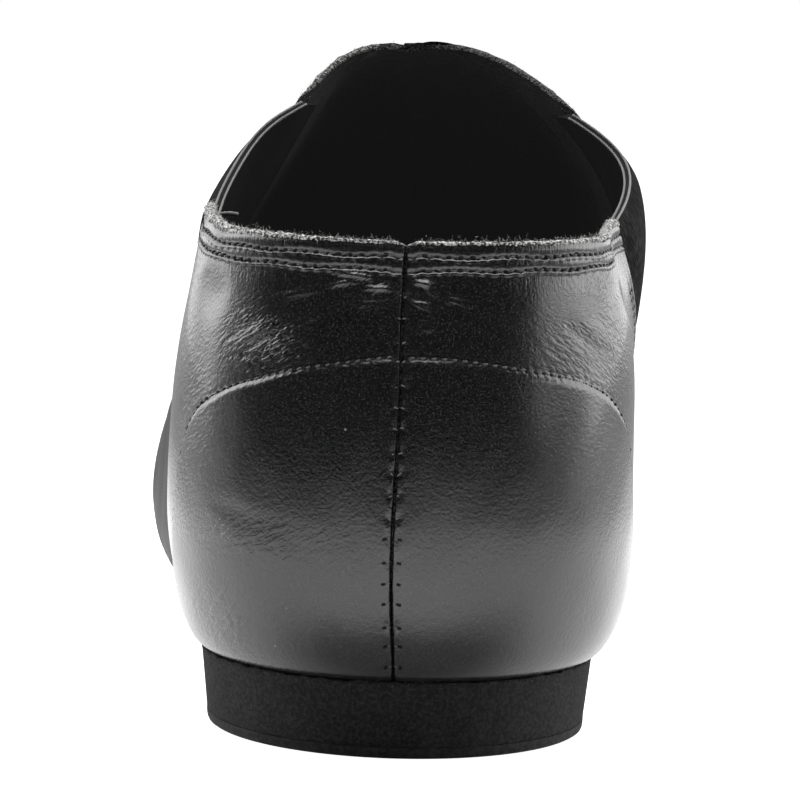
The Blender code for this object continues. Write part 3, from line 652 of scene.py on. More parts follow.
def makeGore(side, materials):
    # a grid between the inner edges of quarter and vamp, wider than the V by a margin that is sewn under
    top, foot, margin = collarTop(cornerY), quarterFront(apexY), gore["margin"]
    v, w = spaced(*gore["rows"]), spaced(*gore["columns"])
    low = foot - margin * mm
    zBack, zFront = low + v * (top - low), low + v * (tongueZ - low)
    back = climb(zBack, top, foot, cornerY, apexY, 1 / last["quarterPower"]) - margin * mm
    fore = climb(zFront, foot, tongueZ, apexY, goreY, 1 / last["vampPower"]) + margin * mm
    y = back[None, :] + w[:, None] * (fore - back)[None, :]
    z = low + v[None, :] * (climb(y, cornerY, goreY, top, tongueZ, gore["rise"][side]) - low)
    s = sOfY(y)
    sheet = sideGrid(side, s, tAtHeight(side, s, z))
    f, base = sheet["fields"], sheet["points"]
    normals, drop = pointNormals(base, sheet["quads"]), f["drop"]
    span = np.linalg.norm(np.diff(sheet["grid"], axis=0), axis=2).sum(0) / mm
    f["rib"] = (w[:, None] * span[None, :]).ravel()
    ahead = (span[None, :] * (1 - w[:, None])).ravel() - margin
    held = np.maximum(softStep(f["rib"] - margin, 7, 0), softStep(ahead, 7, 0))
    swell = gore["bulge"][side] * softStep(drop, 0.2, 4) * softStep(drop, 26, 6)
    offset = settle(base) - gore["free"] - (gore["sewn"] - gore["free"]) * held
    offset += (swell - gore["turnedIn"] * np.exp(-drop / 2.2)) * (1 - held)
    outer = base + normals * (offset * mm)[:, None]
    inner = base + normals * ((offset - gore["thick"]) * mm)[:, None]
    points, faces, kinds, fields = shellOf(sheet, outer, inner)
    piece = newPiece("gore" + side.capitalize(), points, faces, materials, kinds, fields)
    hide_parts("gore_" + side)
    shape = sheet["grid"].shape
    return [table.reshape(shape)[:, -1] for table in (outer, inner)]


# shader tools
def addNode(tree, kind, inputs=None, **settings):
    # a node of a kind, named without ShaderNode, with its settings; each input takes a value or another node's output
    node = tree.nodes.new("ShaderNode" + kind)
    for key, value in settings.items():
        setattr(node, key, value)
    for key, value in (inputs or {}).items():
        if isinstance(value, bpy.types.NodeSocket):
            tree.links.new(value, node.inputs[key])
        else:
            node.inputs[key].default_value = value
    return node


def maths(tree, operation, first, *others):
    # the values joined one after another; an operation on one value takes no others
    for other in others or (0.0,):
        first = addNode(tree, "Math", {0: first, 1: other}, operation=operation).outputs[0]
    return first


def times(tree, *values):
    return maths(tree, "MULTIPLY", *values)


def plus(tree, *values):
    return maths(tree, "ADD", *values)


def remap(tree, value, low, high, newLow=0.0, newHigh=1.0):
    inputs = {"Value": value, "From Min": low, "From Max": high, "To Min": newLow, "To Max": newHigh}
    return addNode(tree, "MapRange", inputs, interpolation_type="SMOOTHSTEP").outputs[0]


def objectPlace(tree):
    return addNode(tree, "TexCoord").outputs["Object"]


def noise(tree, scale, detail=3.0, vector=None, rough=0.5):
    inputs = {"Vector": vector or objectPlace(tree), "Scale": scale, "Detail": detail, "Roughness": rough}
    return addNode(tree, "TexNoise", inputs).outputs["Fac"]


def cells(tree, scale, feature):
    return addNode(tree, "TexVoronoi", {"Vector": objectPlace(tree), "Scale": scale},
                   feature=feature).outputs["Distance"]


def attribute(tree, name):
    return addNode(tree, "Attribute", attribute_name=name).outputs["Fac"]


def mixColour(tree, share, a, b):
    # colours are grey levels, (r, g, b) or a socket
    node = addNode(tree, "Mix", {0: share}, data_type="RGBA")
    for key, value in ((6, a), (7, b)):
        if isinstance(value, bpy.types.NodeSocket):
            tree.links.new(value, node.inputs[key])
        else:
            node.inputs[key].default_value = (*(value if isinstance(value, tuple) else (value,) * 3), 1)
    return node.outputs[2]


def newGroup(name, inputs, outputs):
    tree = bpy.data.node_groups.new(name, "ShaderNodeTree")
    for label, value in inputs:
        socket = tree.interface.new_socket(label, in_out="INPUT", socket_type="NodeSocketFloat")
        socket.default_value = value
    for label in outputs:
        tree.interface.new_socket(label, in_out="OUTPUT", socket_type="NodeSocketFloat")
    return tree, tree.nodes.new("NodeGroupInput").outputs, tree.nodes.new("NodeGroupOutput").inputs


def placeGroup(tree, group, **values):
    return addNode(tree, "Group", {key.capitalize(): value for key, value in values.items()},
                   node_tree=group).outputs


def newMaterial(name, roughness, **sockets):
    material = bpy.data.materials.new(name)
    material.use_nodes = True
    shader = material.node_tree.nodes["Principled BSDF"]
    shader.inputs["Roughness"].default_value = roughness
    for key, value in sockets.items():
        label = {"coat": "Coat Weight", "coatRough": "Coat Roughness", "sheen": "Sheen Weight",
                 "sheenRough": "Sheen Roughness", "specular": "Specular IOR Level"}[key]
        shader.inputs[label].default_value = value
    return material, material.node_tree, shader


def wire(tree, shader, colour, height=None, strength=1.0, distance=0.001, roughness=None):
    # links what the shader gets from nodes; height goes through a bump node
    normal = height and addNode(tree, "Bump", {"Height": height, "Strength": strength, "Distance": distance}).outputs[0]
    for socket, label in ((colour, "Base Color"), (roughness, "Roughness"), (normal, "Normal")):
        if socket:
            tree.links.new(socket, shader.inputs[label])


def leatherGrain():
    # fine leather grain: small cells pinched at their borders, over a softer unevenness
    tree, given, made = newGroup("leatherGrain", (("Size", 2600.0), ("Softness", 0.5)), ("Height",))
    pinched = remap(tree, cells(tree, given["Size"], "DISTANCE_TO_EDGE"), 0.0, 0.30)
    uneven = plus(tree, noise(tree, 2500.0, 2.0), times(tree, noise(tree, 1400.0, 1.0), 0.7))
    tree.links.new(plus(tree, times(tree, pinched, 0.04), times(tree, uneven, given["Softness"])), made["Height"])
    return tree


def fineCreases():
    # fine creases: long thin ridges |noise - 0.5| of stretched noise at two sizes, running along one direction
    tree, given, made = newGroup("fineCreases", (("Across", 0.0), ("Along", 0.0), ("Fineness", 1.0)), ("Height",))
    spread = addNode(tree, "CombineXYZ", {0: times(tree, given["Across"], given["Fineness"]),
                                          1: times(tree, given["Along"], 0.30)}).outputs[0]
    ridges = []
    for scale, amount in ((1.0, 3.0), (2.3, 0.7)):
        centred = maths(tree, "SUBTRACT", noise(tree, scale, 2.5, spread), 0.5)
        ridges.append(times(tree, maths(tree, "ABSOLUTE", centred), amount))
    tree.links.new(plus(tree, *ridges), made["Height"])
    return tree


def handling():
    # wear: a slow mask of polish and dullness, and sparse specks of dust
    tree, given, made = newGroup("handling", (("Size", 60.0), ("Dust", 0.3)), ("Polish", "Specks"))
    scaled = addNode(tree, "VectorMath", {0: objectPlace(tree), "Scale": given["Size"]}, operation="SCALE").outputs[0]
    tree.links.new(remap(tree, noise(tree, 1.0, 5.0, scaled, 0.6), 0.35, 0.65), made["Polish"])
    few = remap(tree, noise(tree, 150.0, 1.0), 0.62, 0.70)
    tree.links.new(times(tree, remap(tree, cells(tree, 420.0, "F1"), 0.10, 0.04), few, given["Dust"]), made["Specks"])
    return tree


def nap():
    # nap of cut leather, felt and suede: short fibres as noise at two sizes
    tree, given, made = newGroup("nap", (("Size", 1500.0), ("Contrast", 1.0)), ("Height", "Tone"))
    fine = noise(tree, given["Size"], 6.0, None, 0.75)
    tree.links.new(fine, made["Height"])
    tone = plus(tree, remap(tree, fine, 0.38, 0.66), times(tree, noise(tree, 220.0), 0.6))
    tree.links.new(times(tree, tone, given["Contrast"]), made["Tone"])
    return tree


grainGroup, creaseGroup, wearGroup, napGroup = leatherGrain(), fineCreases(), handling(), nap()


def upperLeather(name, dull, coat, specular):
    # black smooth leather: semi gloss under a thin finish coat; fine creases where the masks of the panel say
    material, tree, shader = newMaterial(name, 0.26, coat=coat, coatRough=0.12, specular=specular)
    grain = placeGroup(tree, grainGroup, size=4200.0, softness=0.55)["Height"]
    handled = placeGroup(tree, wearGroup, size=45.0, dust=0.5)
    drop, arc = attribute(tree, "drop"), attribute(tree, "arc")
    crinkle = placeGroup(tree, creaseGroup, across=attribute(tree, "crinkleAcross"),
                         along=attribute(tree, "crinkleAlong"), fineness=1.0)["Height"]
    crinkle = times(tree, crinkle, 1.9, attribute(tree, "crinkle"))
    pleats = placeGroup(tree, creaseGroup, across=arc, along=drop, fineness=1.3)["Height"]
    pleats = times(tree, pleats, remap(tree, drop, 9.0, 3.5, 0.0, 0.45))
    height = plus(tree, crinkle, pleats, times(tree, grain, 0.55))
    rough = plus(tree, times(tree, handled["Polish"], 0.05), dull)
    fleck = remap(tree, noise(tree, 4300.0, 2.0), 0.42, 0.74)
    colour = mixColour(tree, fleck, 0.004, (0.024, 0.024, 0.025))
    colour = mixColour(tree, handled["Specks"], colour, (0.35, 0.35, 0.34))
    wire(tree, shader, colour, height, 0.85, 0.00018, rough)
    return material


def napped(name, dark, light, size, contrast, distance, roughness=0.95, **sockets):
    # matt fibrous surface between two greys
    material, tree, shader = newMaterial(name, roughness, **sockets)
    fibres = placeGroup(tree, napGroup, size=size, contrast=contrast)
    wire(tree, shader, mixColour(tree, fibres["Tone"], dark, light), fibres["Height"], 1.0, distance)
    return material


def rawEdge(name, light):
    # cut edge: pale and dark fibre ends side by side
    material, tree, shader = newMaterial(name, 0.95, sheen=light / 2, sheenRough=0.5)
    ends = noise(tree, 2700.0, 1.0)
    tone = times(tree, remap(tree, ends, 0.40, 0.62), remap(tree, noise(tree, 700.0, 2.0), 0.25, 0.6, 0.55))
    wire(tree, shader, mixColour(tree, tone, 0.010, (light, light, 0.97 * light)), ends, 1.0, 0.0005)
    return material


def elastic():
    # ribbed elastic: round ribs up the gore, crossed by fine yarns
    material, tree, shader = newMaterial("elastic", 0.9, specular=0.04)
    rib, drop = attribute(tree, "rib"), attribute(tree, "drop")
    ribs = maths(tree, "ABSOLUTE", maths(tree, "SINE", times(tree, rib, turn / 2 / gore["rib"])))
    place = addNode(tree, "CombineXYZ", {0: times(tree, rib, 3.2), 1: times(tree, drop, 0.55)})
    yarn = noise(tree, 1.0, 3.0, place.outputs[0], 0.6)
    worn = times(tree, remap(tree, yarn, 0.40, 0.66), remap(tree, noise(tree, 500.0), 0.3, 0.6, 0.3))
    colour = mixColour(tree, worn, 0.003, (0.030, 0.030, 0.031))
    wire(tree, shader, colour, plus(tree, times(tree, ribs, 0.35), yarn), 0.9, 0.00022)
    return material


def lining(name, light, sheen):
    # dark brushed lining: a soft mottled felt, rubbed smoother in slow patches, with a faint emission as a painted glow
    # that lifts the dark inside of the opening
    material, tree, shader = newMaterial(name, 0.95, sheen=sheen, sheenRough=0.6, specular=0.2)
    fibres = placeGroup(tree, napGroup, size=900.0, contrast=0.7)
    rubbed = remap(tree, noise(tree, 160.0, 4.0), 0.3, 0.7)
    tone = plus(tree, times(tree, fibres["Tone"], 0.5), times(tree, rubbed, 0.5))
    # painted glow: a faint emission makes the lining give light though it is no lamp
    shader.inputs["Emission Color"].default_value = (1, 1, 1, 1)
    shader.inputs["Emission Strength"].default_value = 0.006
    wire(tree, shader, mixColour(tree, tone, 0.4 * light, light), fibres["Height"], 0.8, 0.00025)
    return material


def threadMaterial(name, tone, roughness):
    # spun thread: its plies between a grey and six tenths of it
    material, tree, shader = newMaterial(name, roughness, sheen=0.2, sheenRough=0.4)
    ply = noise(tree, 2400.0)
    wire(tree, shader, mixColour(tree, ply, tuple(0.6 * c for c in tone), tone), ply, 0.8, 0.0001)
    return material


leatherMat = upperLeather("upperLeather", 0.20, 0.3, 0.5)
vampMat = upperLeather("vampLeather", 0.50, 0.0, 0.11)
# both linings carry the painted glow of a faint emission
glowingLiningMat = lining("lining", 0.020, 0.10)
# painted shade: the gore's inside gets a darker copy of the lining to dim the light that falls into the opening
shadedGoreLiningMat = lining("shadedGoreLining", 0.006, 0.0)
rawMat = rawEdge("rawEdge", 0.60)
# lit and shaded copies of one cut edge: the lateral one painted lighter as painted light, the medial one darker as
# painted shade
tongueEdgeMats = {"lateral": rawEdge("tongueEdgeLateralLit", 0.30), "medial": rawEdge("tongueEdgeMedialShaded", 0.10)}
darkRawMat = napped("darkRawEdge", 0.006, 0.16, 3900.0, 0.6, 0.0004, sheen=0.3, sheenRough=0.5)
elasticMat = elastic()
selvedgeMat = threadMaterial("selvedge", (0.19, 0.19, 0.19), 0.8)
threadMat = threadMaterial("thread", (0.05, 0.05, 0.052), 0.35)
paleThreadMat = threadMaterial("paleThread", (0.13, 0.13, 0.13), 0.5)
lintMat = threadMaterial("lint", (0.55, 0.55, 0.54), 0.8)
# black matte: the painted shade of the needle holes
holeShadeMat = napped("needleHoleShade", 0.001, 0.003, 900.0, 0.5, 0.0001, 1.0)
heelMat = napped("heelSuede", 0.006, 0.048, 1900.0, 0.62, 0.0004, specular=0.15)
liftMat = napped("liftRubber", 0.008, 0.038, 1500.0, 0.7, 0.0002, 0.8, specular=0.15)
padMat = napped("padSuede", 0.008, (0.045, 0.045, 0.044), 900.0, 0.7, 0.0003, sheen=0.2, sheenRough=0.5)
sockMat = napped("sockTextile", 0.005, 0.02, 1200.0, 0.7, 0.0002)
print("materials ready")

# panels
panels = {side: makeQuarter(side, [leatherMat, glowingLiningMat, rawMat]) for side in sides}
vampHalves = makeVamp([vampMat, glowingLiningMat, darkRawMat])
gores = {side: makeGore(side, [elasticMat, shadedGoreLiningMat, shadedGoreLiningMat]) for side in sides}
print("panels ready")


# heel, lift, pad and sock
def planHalf(side, y, inset):
    # half width of the feather edge's outline: sqrt(1 - u^2) at the round heel and toe
    length, ball = last["length"], last["ball"]
    cap, toe = last["heelCap"] * length, last["toe"] * length
    tuck = "tuck" if side == "lateral" else "waist"
    back = np.clip((cap - y) / (cap - section(tuck, 0) * ball - inset), 0, 1)
    fore = np.clip((y - toe) / (length - toe - section(tuck, toe) * ball - inset), 0, 1)
    half = section(side, y) * ball - sides[side] * section("spine", y) * ball - section(tuck, y) * ball - inset
    return half * np.sqrt(1 - back ** 2) * np.sqrt(1 - fore ** 2)


def outline(start, end, inset, count, rear=None):
    # closed loop of the plan between two places along the shoe, anticlockwise from the rear, count points a side
    first = max(start, section("tuck", 0) * last["ball"] + inset)
    final = min(end, last["length"] - section("tuck", last["toe"] * last["length"]) * last["ball"] - inset)
    y = first + (final - first) * (0.5 - 0.5 * np.cos(np.linspace(0, 1, count) * turn / 2))
    spine, shrink = section("spine", y) * last["ball"], 1.0
    if rear:
        shrink = np.sqrt(np.clip(1 - (1 - np.clip((y - first) / rear, 0, 1)) ** 2, 0, 1))
    medial, lateral = (np.stack([spine + sides[side] * planHalf(side, y, inset) * shrink, y], 1)
                       for side in ("medial", "lateral"))
    return np.concatenate([medial, lateral[::-1][1:-1]])


def makePlate(name, start, end, inset, rings, heightOf, materials, rough, rear=None, count=150):
    # side rings of (inset in mm, level 0..1) round the plan, with quads across top and bottom
    loop = outline(start * last["length"], end * last["length"], inset * mm, count, rear)
    size = len(loop)
    ahead = np.roll(loop, -1, 0) - np.roll(loop, 1, 0)
    out = unit(np.stack([ahead[:, 1], -ahead[:, 0]], 1))
    run = np.cumsum(np.linalg.norm(ahead, axis=1)) / 2 / mm
    grid = []
    for inward, share in rings:
        line = loop - out * inward * mm
        grid.append(np.column_stack([line, heightOf(line[:, 1], share)]))
    grid = np.stack(grid)
    wobble = rough * (np.sin(run / 0.83) * np.sin(run / 2.9 + 1) + 0.7 * np.sin(run / 0.47 + 4 * np.sin(run / 5.3)))
    fade = 1 - np.clip(4 * np.array([share for _, share in rings]), 0, 1)
    grid[..., 2] += wobble[None, :] * fade[:, None] * mm
    quads = gridQuads(len(rings), size + 1, True)
    column, row = quads % (size + 1), quads // (size + 1)
    i = np.arange(size // 2 + 1)
    left = (size - i) % size
    cap = np.stack([i[:-1], i[1:], left[1:], left[:-1]], 1)
    faces = np.concatenate([row * size + column % size, cap, cap[:, ::-1] + (len(rings) - 1) * size])
    return newPiece(name, grid.reshape(-1, 3) + home, faces, materials)


def taperRings(top, bottom, chamfer, tiers):
    # straight taper from top to bottom inset, then a quarter round of the chamfer
    side = [(top + (bottom - top) * u, 0.94 * u) for u in np.linspace(0, 1, tiers)]
    side[0] = (top + 0.12, 0.0)
    side.insert(1, (top, 0.03))
    corner = [(bottom + chamfer * (1 - math.cos(a)), 0.94 + 0.06 * math.sin(a)) for a in np.linspace(0.3, turn / 4, 5)]
    return side + corner


heelPart = {
    "wide": 0.45, "taper": 0.9, "round": 0.15, "tiers": 16, "rough": 0.12,
    "liftRings": ((0.90, 0.0), (0.94, 0.4), (1.00, 0.65), (1.15, 0.87), (1.45, 1.0)),
}
padPart = {"taper": 0.25, "round": 0.5, "tiers": 8, "rough": 0.04, "rear": 0.016}
sockPart = {"inset": 1.3, "thick": 0.0024, "rings": ((0.0, 0.0), (-0.5, 0.45), (-0.9, 0.9), (-0.4, 1.0))}
lip, liftTop = last["lip"] / mm, last["lift"]
heelTop, padTop = last["heel"] + 0.00015, last["gap"] * 0.5
heelBlock = makePlate("heelBlock", 0, last["blockFront"], -lip - heelPart["wide"],
                      taperRings(0.0, heelPart["taper"], heelPart["round"], heelPart["tiers"]),
                      lambda y, u: heelTop + (liftTop - heelTop) * u + 0 * y, [heelMat], heelPart["rough"])
heelLift = makePlate("heelLift", 0, last["blockFront"], -lip - heelPart["wide"], heelPart["liftRings"],
                     lambda y, u: liftTop * (1 - u) + 0 * y, [liftMat], 0.0)
pad = makePlate("forefootPad", last["padBack"], 1.0, -lip,
                taperRings(0.0, padPart["taper"], padPart["round"], padPart["tiers"]),
                lambda y, u: bed(y) - padTop - u * (last["sole"] - padTop), [padMat], padPart["rough"],
                rear=padPart["rear"])
sock = makePlate("sockLining", 0, 1.0, sockPart["inset"], sockPart["rings"],
                 lambda y, u: bed(y) + last["wall"] + 2 * last["gap"] + sockPart["thick"] * u, [sockMat], 0.0)
for piece, node, slot in ((heelBlock, "heel_block", "heel_rubber"), (heelLift, "heel_lift", "lift_rubber"),
                          (pad, "outsole_forefoot", "pad_suede"), (sock, "insole", "sock_textile")):
    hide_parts(node)


# threads, raw edges and loose fibres
def levelCurve(skin, values, level):
    # where a value that falls along the rows of a panel passes a level, in each column
    n, m = values.shape
    k = np.clip((values > level).sum(1) - 1, 0, m - 2)
    i = np.arange(n)
    u = (values[i, k] - level) / np.maximum(values[i, k] - values[i, k + 1], 1e-9)
    return skin[i, k] + (skin[i, k + 1] - skin[i, k]) * np.clip(u, 0, 1)[:, None]


def evenPath(path, pitch, start, normals):
    # points at an even pitch in mm along a path, with the direction ahead and the normals there
    run = runAlong(path)
    at = np.arange(start + pitch / 2, run[-1] - pitch / 2, pitch)

    def pick(table, places):
        return np.stack([np.interp(places, run, table[:, k]) for k in range(3)], 1)

    return pick(path, at), unit(pick(path, at + 0.2) - pick(path, at - 0.2)), pick(normals, at)


def gather(parts):
    # several lists of points, directions and normals as one
    return [np.concatenate([part[k] for part in parts]) for k in range(3)]


def stitchRows(name, places, length, radius, materials, arch=0.9):
    # each stitch is a thread whose radius is r * sqrt(1 - a^6) and which arches by a^2, a = -1..1 along it
    centres, ahead, up = places
    rings, round6 = 7, 6
    a, around = np.linspace(-0.92, 0.92, rings), np.arange(round6) * turn / round6
    count = len(centres)
    side = unit(np.cross(up, ahead))
    length, radius = np.broadcast_to(length, count) * mm, np.broadcast_to(radius, count) * mm
    girth = np.sqrt(1 - a ** 6)
    along = np.concatenate([[-1], np.repeat(a, round6), [1]])
    across = np.concatenate([[0], (girth[:, None] * np.cos(around)).ravel(), [0]])
    over = np.concatenate([[0], (girth[:, None] * np.sin(around)).ravel(), [0]]) - arch * 1.6 * along ** 2
    points = (centres[:, None] + ahead[:, None] * (along[None, :, None] * length[:, None, None] / 2)
              + side[:, None] * (across[None, :, None] * radius[:, None, None])
              + up[:, None] * (over[None, :, None] * radius[:, None, None]))
    ring = np.arange(round6)
    after, first = (ring + 1) % round6, np.zeros(round6, int)
    faces = [np.stack([first, 1 + after, 1 + ring, first], 1)]
    for base in 1 + round6 * np.arange(rings - 1):
        faces.append(np.stack([base + ring, base + after, base + round6 + after, base + round6 + ring], 1))
    tail = 1 + round6 * (rings - 1)
    faces.append(np.stack([tail + ring, tail + after, first + tail + round6, first + tail + round6], 1))
    faces = np.concatenate(faces)
    allFaces = (faces[None] + np.arange(count)[:, None, None] * len(along)).reshape(-1, 4)
    return newPiece(name, points.reshape(-1, 3), allFaces, materials, sharp=0)


def tubeAlong(path, outward, upward, wide, high, rough, count=8):
    # oval profile carried along a path, wide outward and high upward in mm, with its own unevenness
    around = np.arange(count) * turn / count
    wide, high = np.broadcast_to(wide, len(path)), np.broadcast_to(high, len(path))
    shake = 1 + rough * rng.standard_normal((len(path), count))
    points = (path[:, None] + outward[:, None] * (np.cos(around) * shake)[..., None] * (wide * mm)[:, None, None]
              + upward[:, None] * (np.sin(around) * shake)[..., None] * (high * mm)[:, None, None])
    grid = np.concatenate([points, points[:, :1]], 1)
    grid = np.concatenate([np.repeat(path[:1, None], count + 1, 1), grid, np.repeat(path[-1:, None], count + 1, 1)])
    quads = gridQuads(len(grid), count + 1, True)
    return {"points": grid.reshape(-1, 3), "quads": quads, "fields": {}}


def fibreMesh(name, roots, ahead, lengths, radius, curl, materials):
    # each fibre: a three sided taper of four rings, bending by curl * u^2 away from its start
    u, around = np.linspace(0, 1, 4), np.arange(3) * turn / 3
    ahead = unit(ahead)
    side = unit(np.cross(ahead, [0.31, 0.47, 0.82]))
    over = np.cross(ahead, side)
    centre = (roots[:, None] + ahead[:, None] * (u[None, :, None] * lengths[:, None, None] * mm)
              + curl[:, None] * (u ** 2)[None, :, None] * lengths[:, None, None] * mm)
    girth = (radius * mm * (1 - 0.75 * u))[None, :, None, None]
    points = centre[:, :, None] + girth * (side[:, None, None] * np.cos(around)[None, None, :, None]
                                           + over[:, None, None] * np.sin(around)[None, None, :, None])
    ring = np.arange(3)
    faces = [np.stack([3 * k + ring, 3 * k + (ring + 1) % 3, 3 * k + 3 + (ring + 1) % 3, 3 * k + 3 + ring], 1)
             for k in range(3)]
    faces += [np.array([[2, 1, 0, 2]]), np.array([[9, 10, 11, 9]])]
    faces = np.concatenate(faces)
    allFaces = (faces[None] + np.arange(len(roots))[:, None, None] * 12).reshape(-1, 4)
    return newPiece(name, points.reshape(-1, 3), allFaces, materials, sharp=0)


# loose fibres on each edge: how many a point, length and radius in mm
fuzz = {"collarFuzz": (5, 0.26, 0.03), "joinFuzz": (4, 0.30, 0.03), "tongueFuzz": (9, 0.30, 0.035),
        "scatter": 0.25, "lean": 0.75, "curl": 0.35}


def fuzzOn(name, roots, upward, material):
    # short fibres scattered along an edge, each leaning at random from straight up
    perPoint, length, radius = fuzz[name]
    root, up = np.repeat(np.concatenate(roots), perPoint, 0), np.repeat(np.concatenate(upward), perPoint, 0)
    root = root + rng.normal(0, fuzz["scatter"], root.shape) * mm
    lean = unit(up + rng.normal(0, fuzz["lean"], root.shape))
    sizes = length * (0.4 + rng.random(len(root)))
    return fibreMesh(name, root, lean, sizes, radius, rng.normal(0, fuzz["curl"], root.shape), [material])


def seamPlaces(side):
    # where the threads of one quarter run: rows below the collar, on the counter, behind the front, up the back
    sheet, outer, normals = panels[side]
    shape = sheet["grid"].shape[:2]
    skin, up = outer.reshape(*shape, 3), normals.reshape(*shape, 3)
    f = {key: value.reshape(shape) for key, value in sheet["fields"].items()}
    collar, front = [], []
    for row, _ in quarter["collarRows"]:
        path, tops = levelCurve(skin, f["drop"], row), levelCurve(up, f["drop"], row)
        collar.append(evenPath(path[8:], stitch["collarPitch"], 0.3, tops[8:]))
    reach = f["arc"][:, -1] < quarter["counterLine"][side][-1][0] - 1.5
    path, tops = levelCurve(skin, f["line"], 0.25), levelCurve(up, f["line"], 0.25)
    counter = [evenPath(path[reach][6:], stitch["counterPitch"], 0.2, tops[reach][6:])]
    for row in quarter["frontRows"]:
        path, tops = (levelCurve(table.transpose(1, 0, 2), f["fore"].T, row) for table in (skin, up))
        seen = (path[:, 2] > bed(0.07) + 1 * mm) & (path[:, 2] < collarTop(0) - 8 * mm)
        front.append(evenPath(path[seen], stitch["collarPitch"], 0.4, tops[seen]))
    column = int(np.argmin(abs(f["arc"][:, -40] - stitch["cross"])))
    order = np.argsort(f["level"][column])
    back = [np.stack([np.interp(stitchLevels, f["level"][column][order], table[column][order, k])
                      for k in range(3)], 1) for table in (skin, up)]
    edge = (skin[:, -1], up[:, -1], unit(skin[:, -1] - skin[:, -3]), f["arc"][:, -1])
    return {"collar": collar, "counter": counter, "front": front, "back": back, "edge": edge}


seams = {side: seamPlaces(side) for side in sides}
# black pieces of painted shade for the needle holes, between the stitches of each row
holeShadePlaces = []
for name, key, pitch in (("collarThread", "collar", stitch["collarPitch"]),
                         ("counterThread", "counter", stitch["counterPitch"]),
                         ("sideSeamThread", "front", stitch["collarPitch"])):
    centres, ahead, up = gather(seams["lateral"][key] + seams["medial"][key])
    tilt = unit(ahead + 0.22 * np.cross(up, ahead))
    places = (centres + up * 0.04 * mm, tilt, up)
    piece = stitchRows(name, places, pitch * stitch["share"], stitch["radius"], [threadMat])
    holeShadePlaces.append((centres + ahead * pitch / 2 * mm, ahead, up))


# the back seam's loops, and the needle holes as black pieces of painted shade, in mm; a length is its least and its
# range
seamLoop = {"dip": 0.30, "shake": 0.22, "lean": 0.45, "rise": 0.12, "length": (0.35, 0.45), "radius": 0.10}
prick = {"rise": 0.01, "endRise": 0.03, "length": (0.55, 0.25), "radius": 0.19, "arch": 0.2}


def makeBackSeam(holeShadePlaces):
    # at each cross stitch a pale loop dips into the crack from either side, with a black piece of painted shade for the
    # hole at its outer end
    left, right = seams["lateral"]["back"], seams["medial"]["back"]
    middle = 0.5 * (left[0] + right[0]) - seamLoop["dip"] * mm * unit(left[1] + right[1])
    shake = rng.normal(0, seamLoop["shake"], (len(stitchLevels), 2))
    loops = []
    for (ends, tops), lift in ((left, shake[:, 0]), (right, shake[:, 1])):
        dip = middle + np.array([0, 0, 1]) * (lift * mm)[:, None]
        lean = np.array([0, 0, 1]) * rng.normal(0, seamLoop["lean"], (len(ends), 1))
        loops.append((0.5 * (ends + dip) + tops * seamLoop["rise"] * mm, unit(unit(dip - ends) + lean), unit(tops)))
        holeShadePlaces.append((ends + tops * prick["endRise"] * mm + [0, 0, -0.00015],
                      unit(ends - middle + [0, 0, -0.0002]), unit(tops)))
    places = gather(loops)
    sizes = seamLoop["length"][0] + seamLoop["length"][1] * rng.random(len(places[0]))
    seamThread = stitchRows("backSeamThread", places, sizes, seamLoop["radius"], [paleThreadMat])
    centres, ahead, up = gather(holeShadePlaces)
    sizes = prick["length"][0] + prick["length"][1] * rng.random(len(centres))
    places = (centres + up * prick["rise"] * mm, ahead, up)
    # the needle holes as black matte pieces: painted shade
    piece = stitchRows("needleHoleShades", places, sizes, prick["radius"], [holeShadeMat], prick["arch"])


edge = {"back": 0.34, "lateral": 0.66, "medial": 0.42, "rough": 0.16, "nub": 0.45}      # thickness in mm, unevenness


def makeCollarEdge():
    # a rough bead along the cut edge, thin at the seam, with a nub at the medial corner, and its loose fibres
    beads, roots, lines = [], [], []
    for side in sides:
        path, out, upward, arc = seams[side]["edge"]
        high = edge["back"] + (edge[side] - edge["back"]) * softStep(arc, 4, 34)
        high = high * (1 + 0.14 * np.sin(arc * 1.7) * np.sin(arc * 0.61)) * (0.35 + 0.65 * softStep(arc, 0.2, 1.6))
        centre = path - out * (quarter["wall"] / 2 - 0.1) * mm
        if side == "medial":
            corner = bell(arc, arc[-1] - 2.2, 1.9)
            centre = centre + upward * (edge["nub"] * 0.7 * mm * corner)[:, None]
            high = high + edge["nub"] * 0.45 * corner
        beads.append(tubeAlong(centre, out, upward, quarter["wall"] / 2 + 0.05, high, edge["rough"], 12))
        roots.append((centre + upward * (high * 0.8 * mm)[:, None])[arc > 1.5])
        lines.append(upward[arc > 1.5])
    bead = joinSheets(beads)
    collarBead = newPiece("collarRawEdge", bead["points"], bead["quads"], [rawMat], sharp=0)
    collarFuzz = fuzzOn("collarFuzz", roots, lines, lintMat)


def makeJoinFuzz():
    # frayed fibres where the leather meets the heel
    rim = outline(0, 0.12, -0.95 * mm, 60)
    rim = np.column_stack([rim, np.full(len(rim), heelTop - 0.0002)]) + home
    outward = unit(rim - [home[0], home[1] + 0.035, rim[0, 2]]) + [0, 0, 0.35]
    joinFuzz = fuzzOn("joinFuzz", [rim], [outward], paleThreadMat)


# the tongue's cut edge in mm: half thickness at the side, what it gains at the crown
tongueEdge = {"lateral": (0.34, 0.20), "medial": (0.24, 0.05), "rough": 0.18, "lap": 0.8}


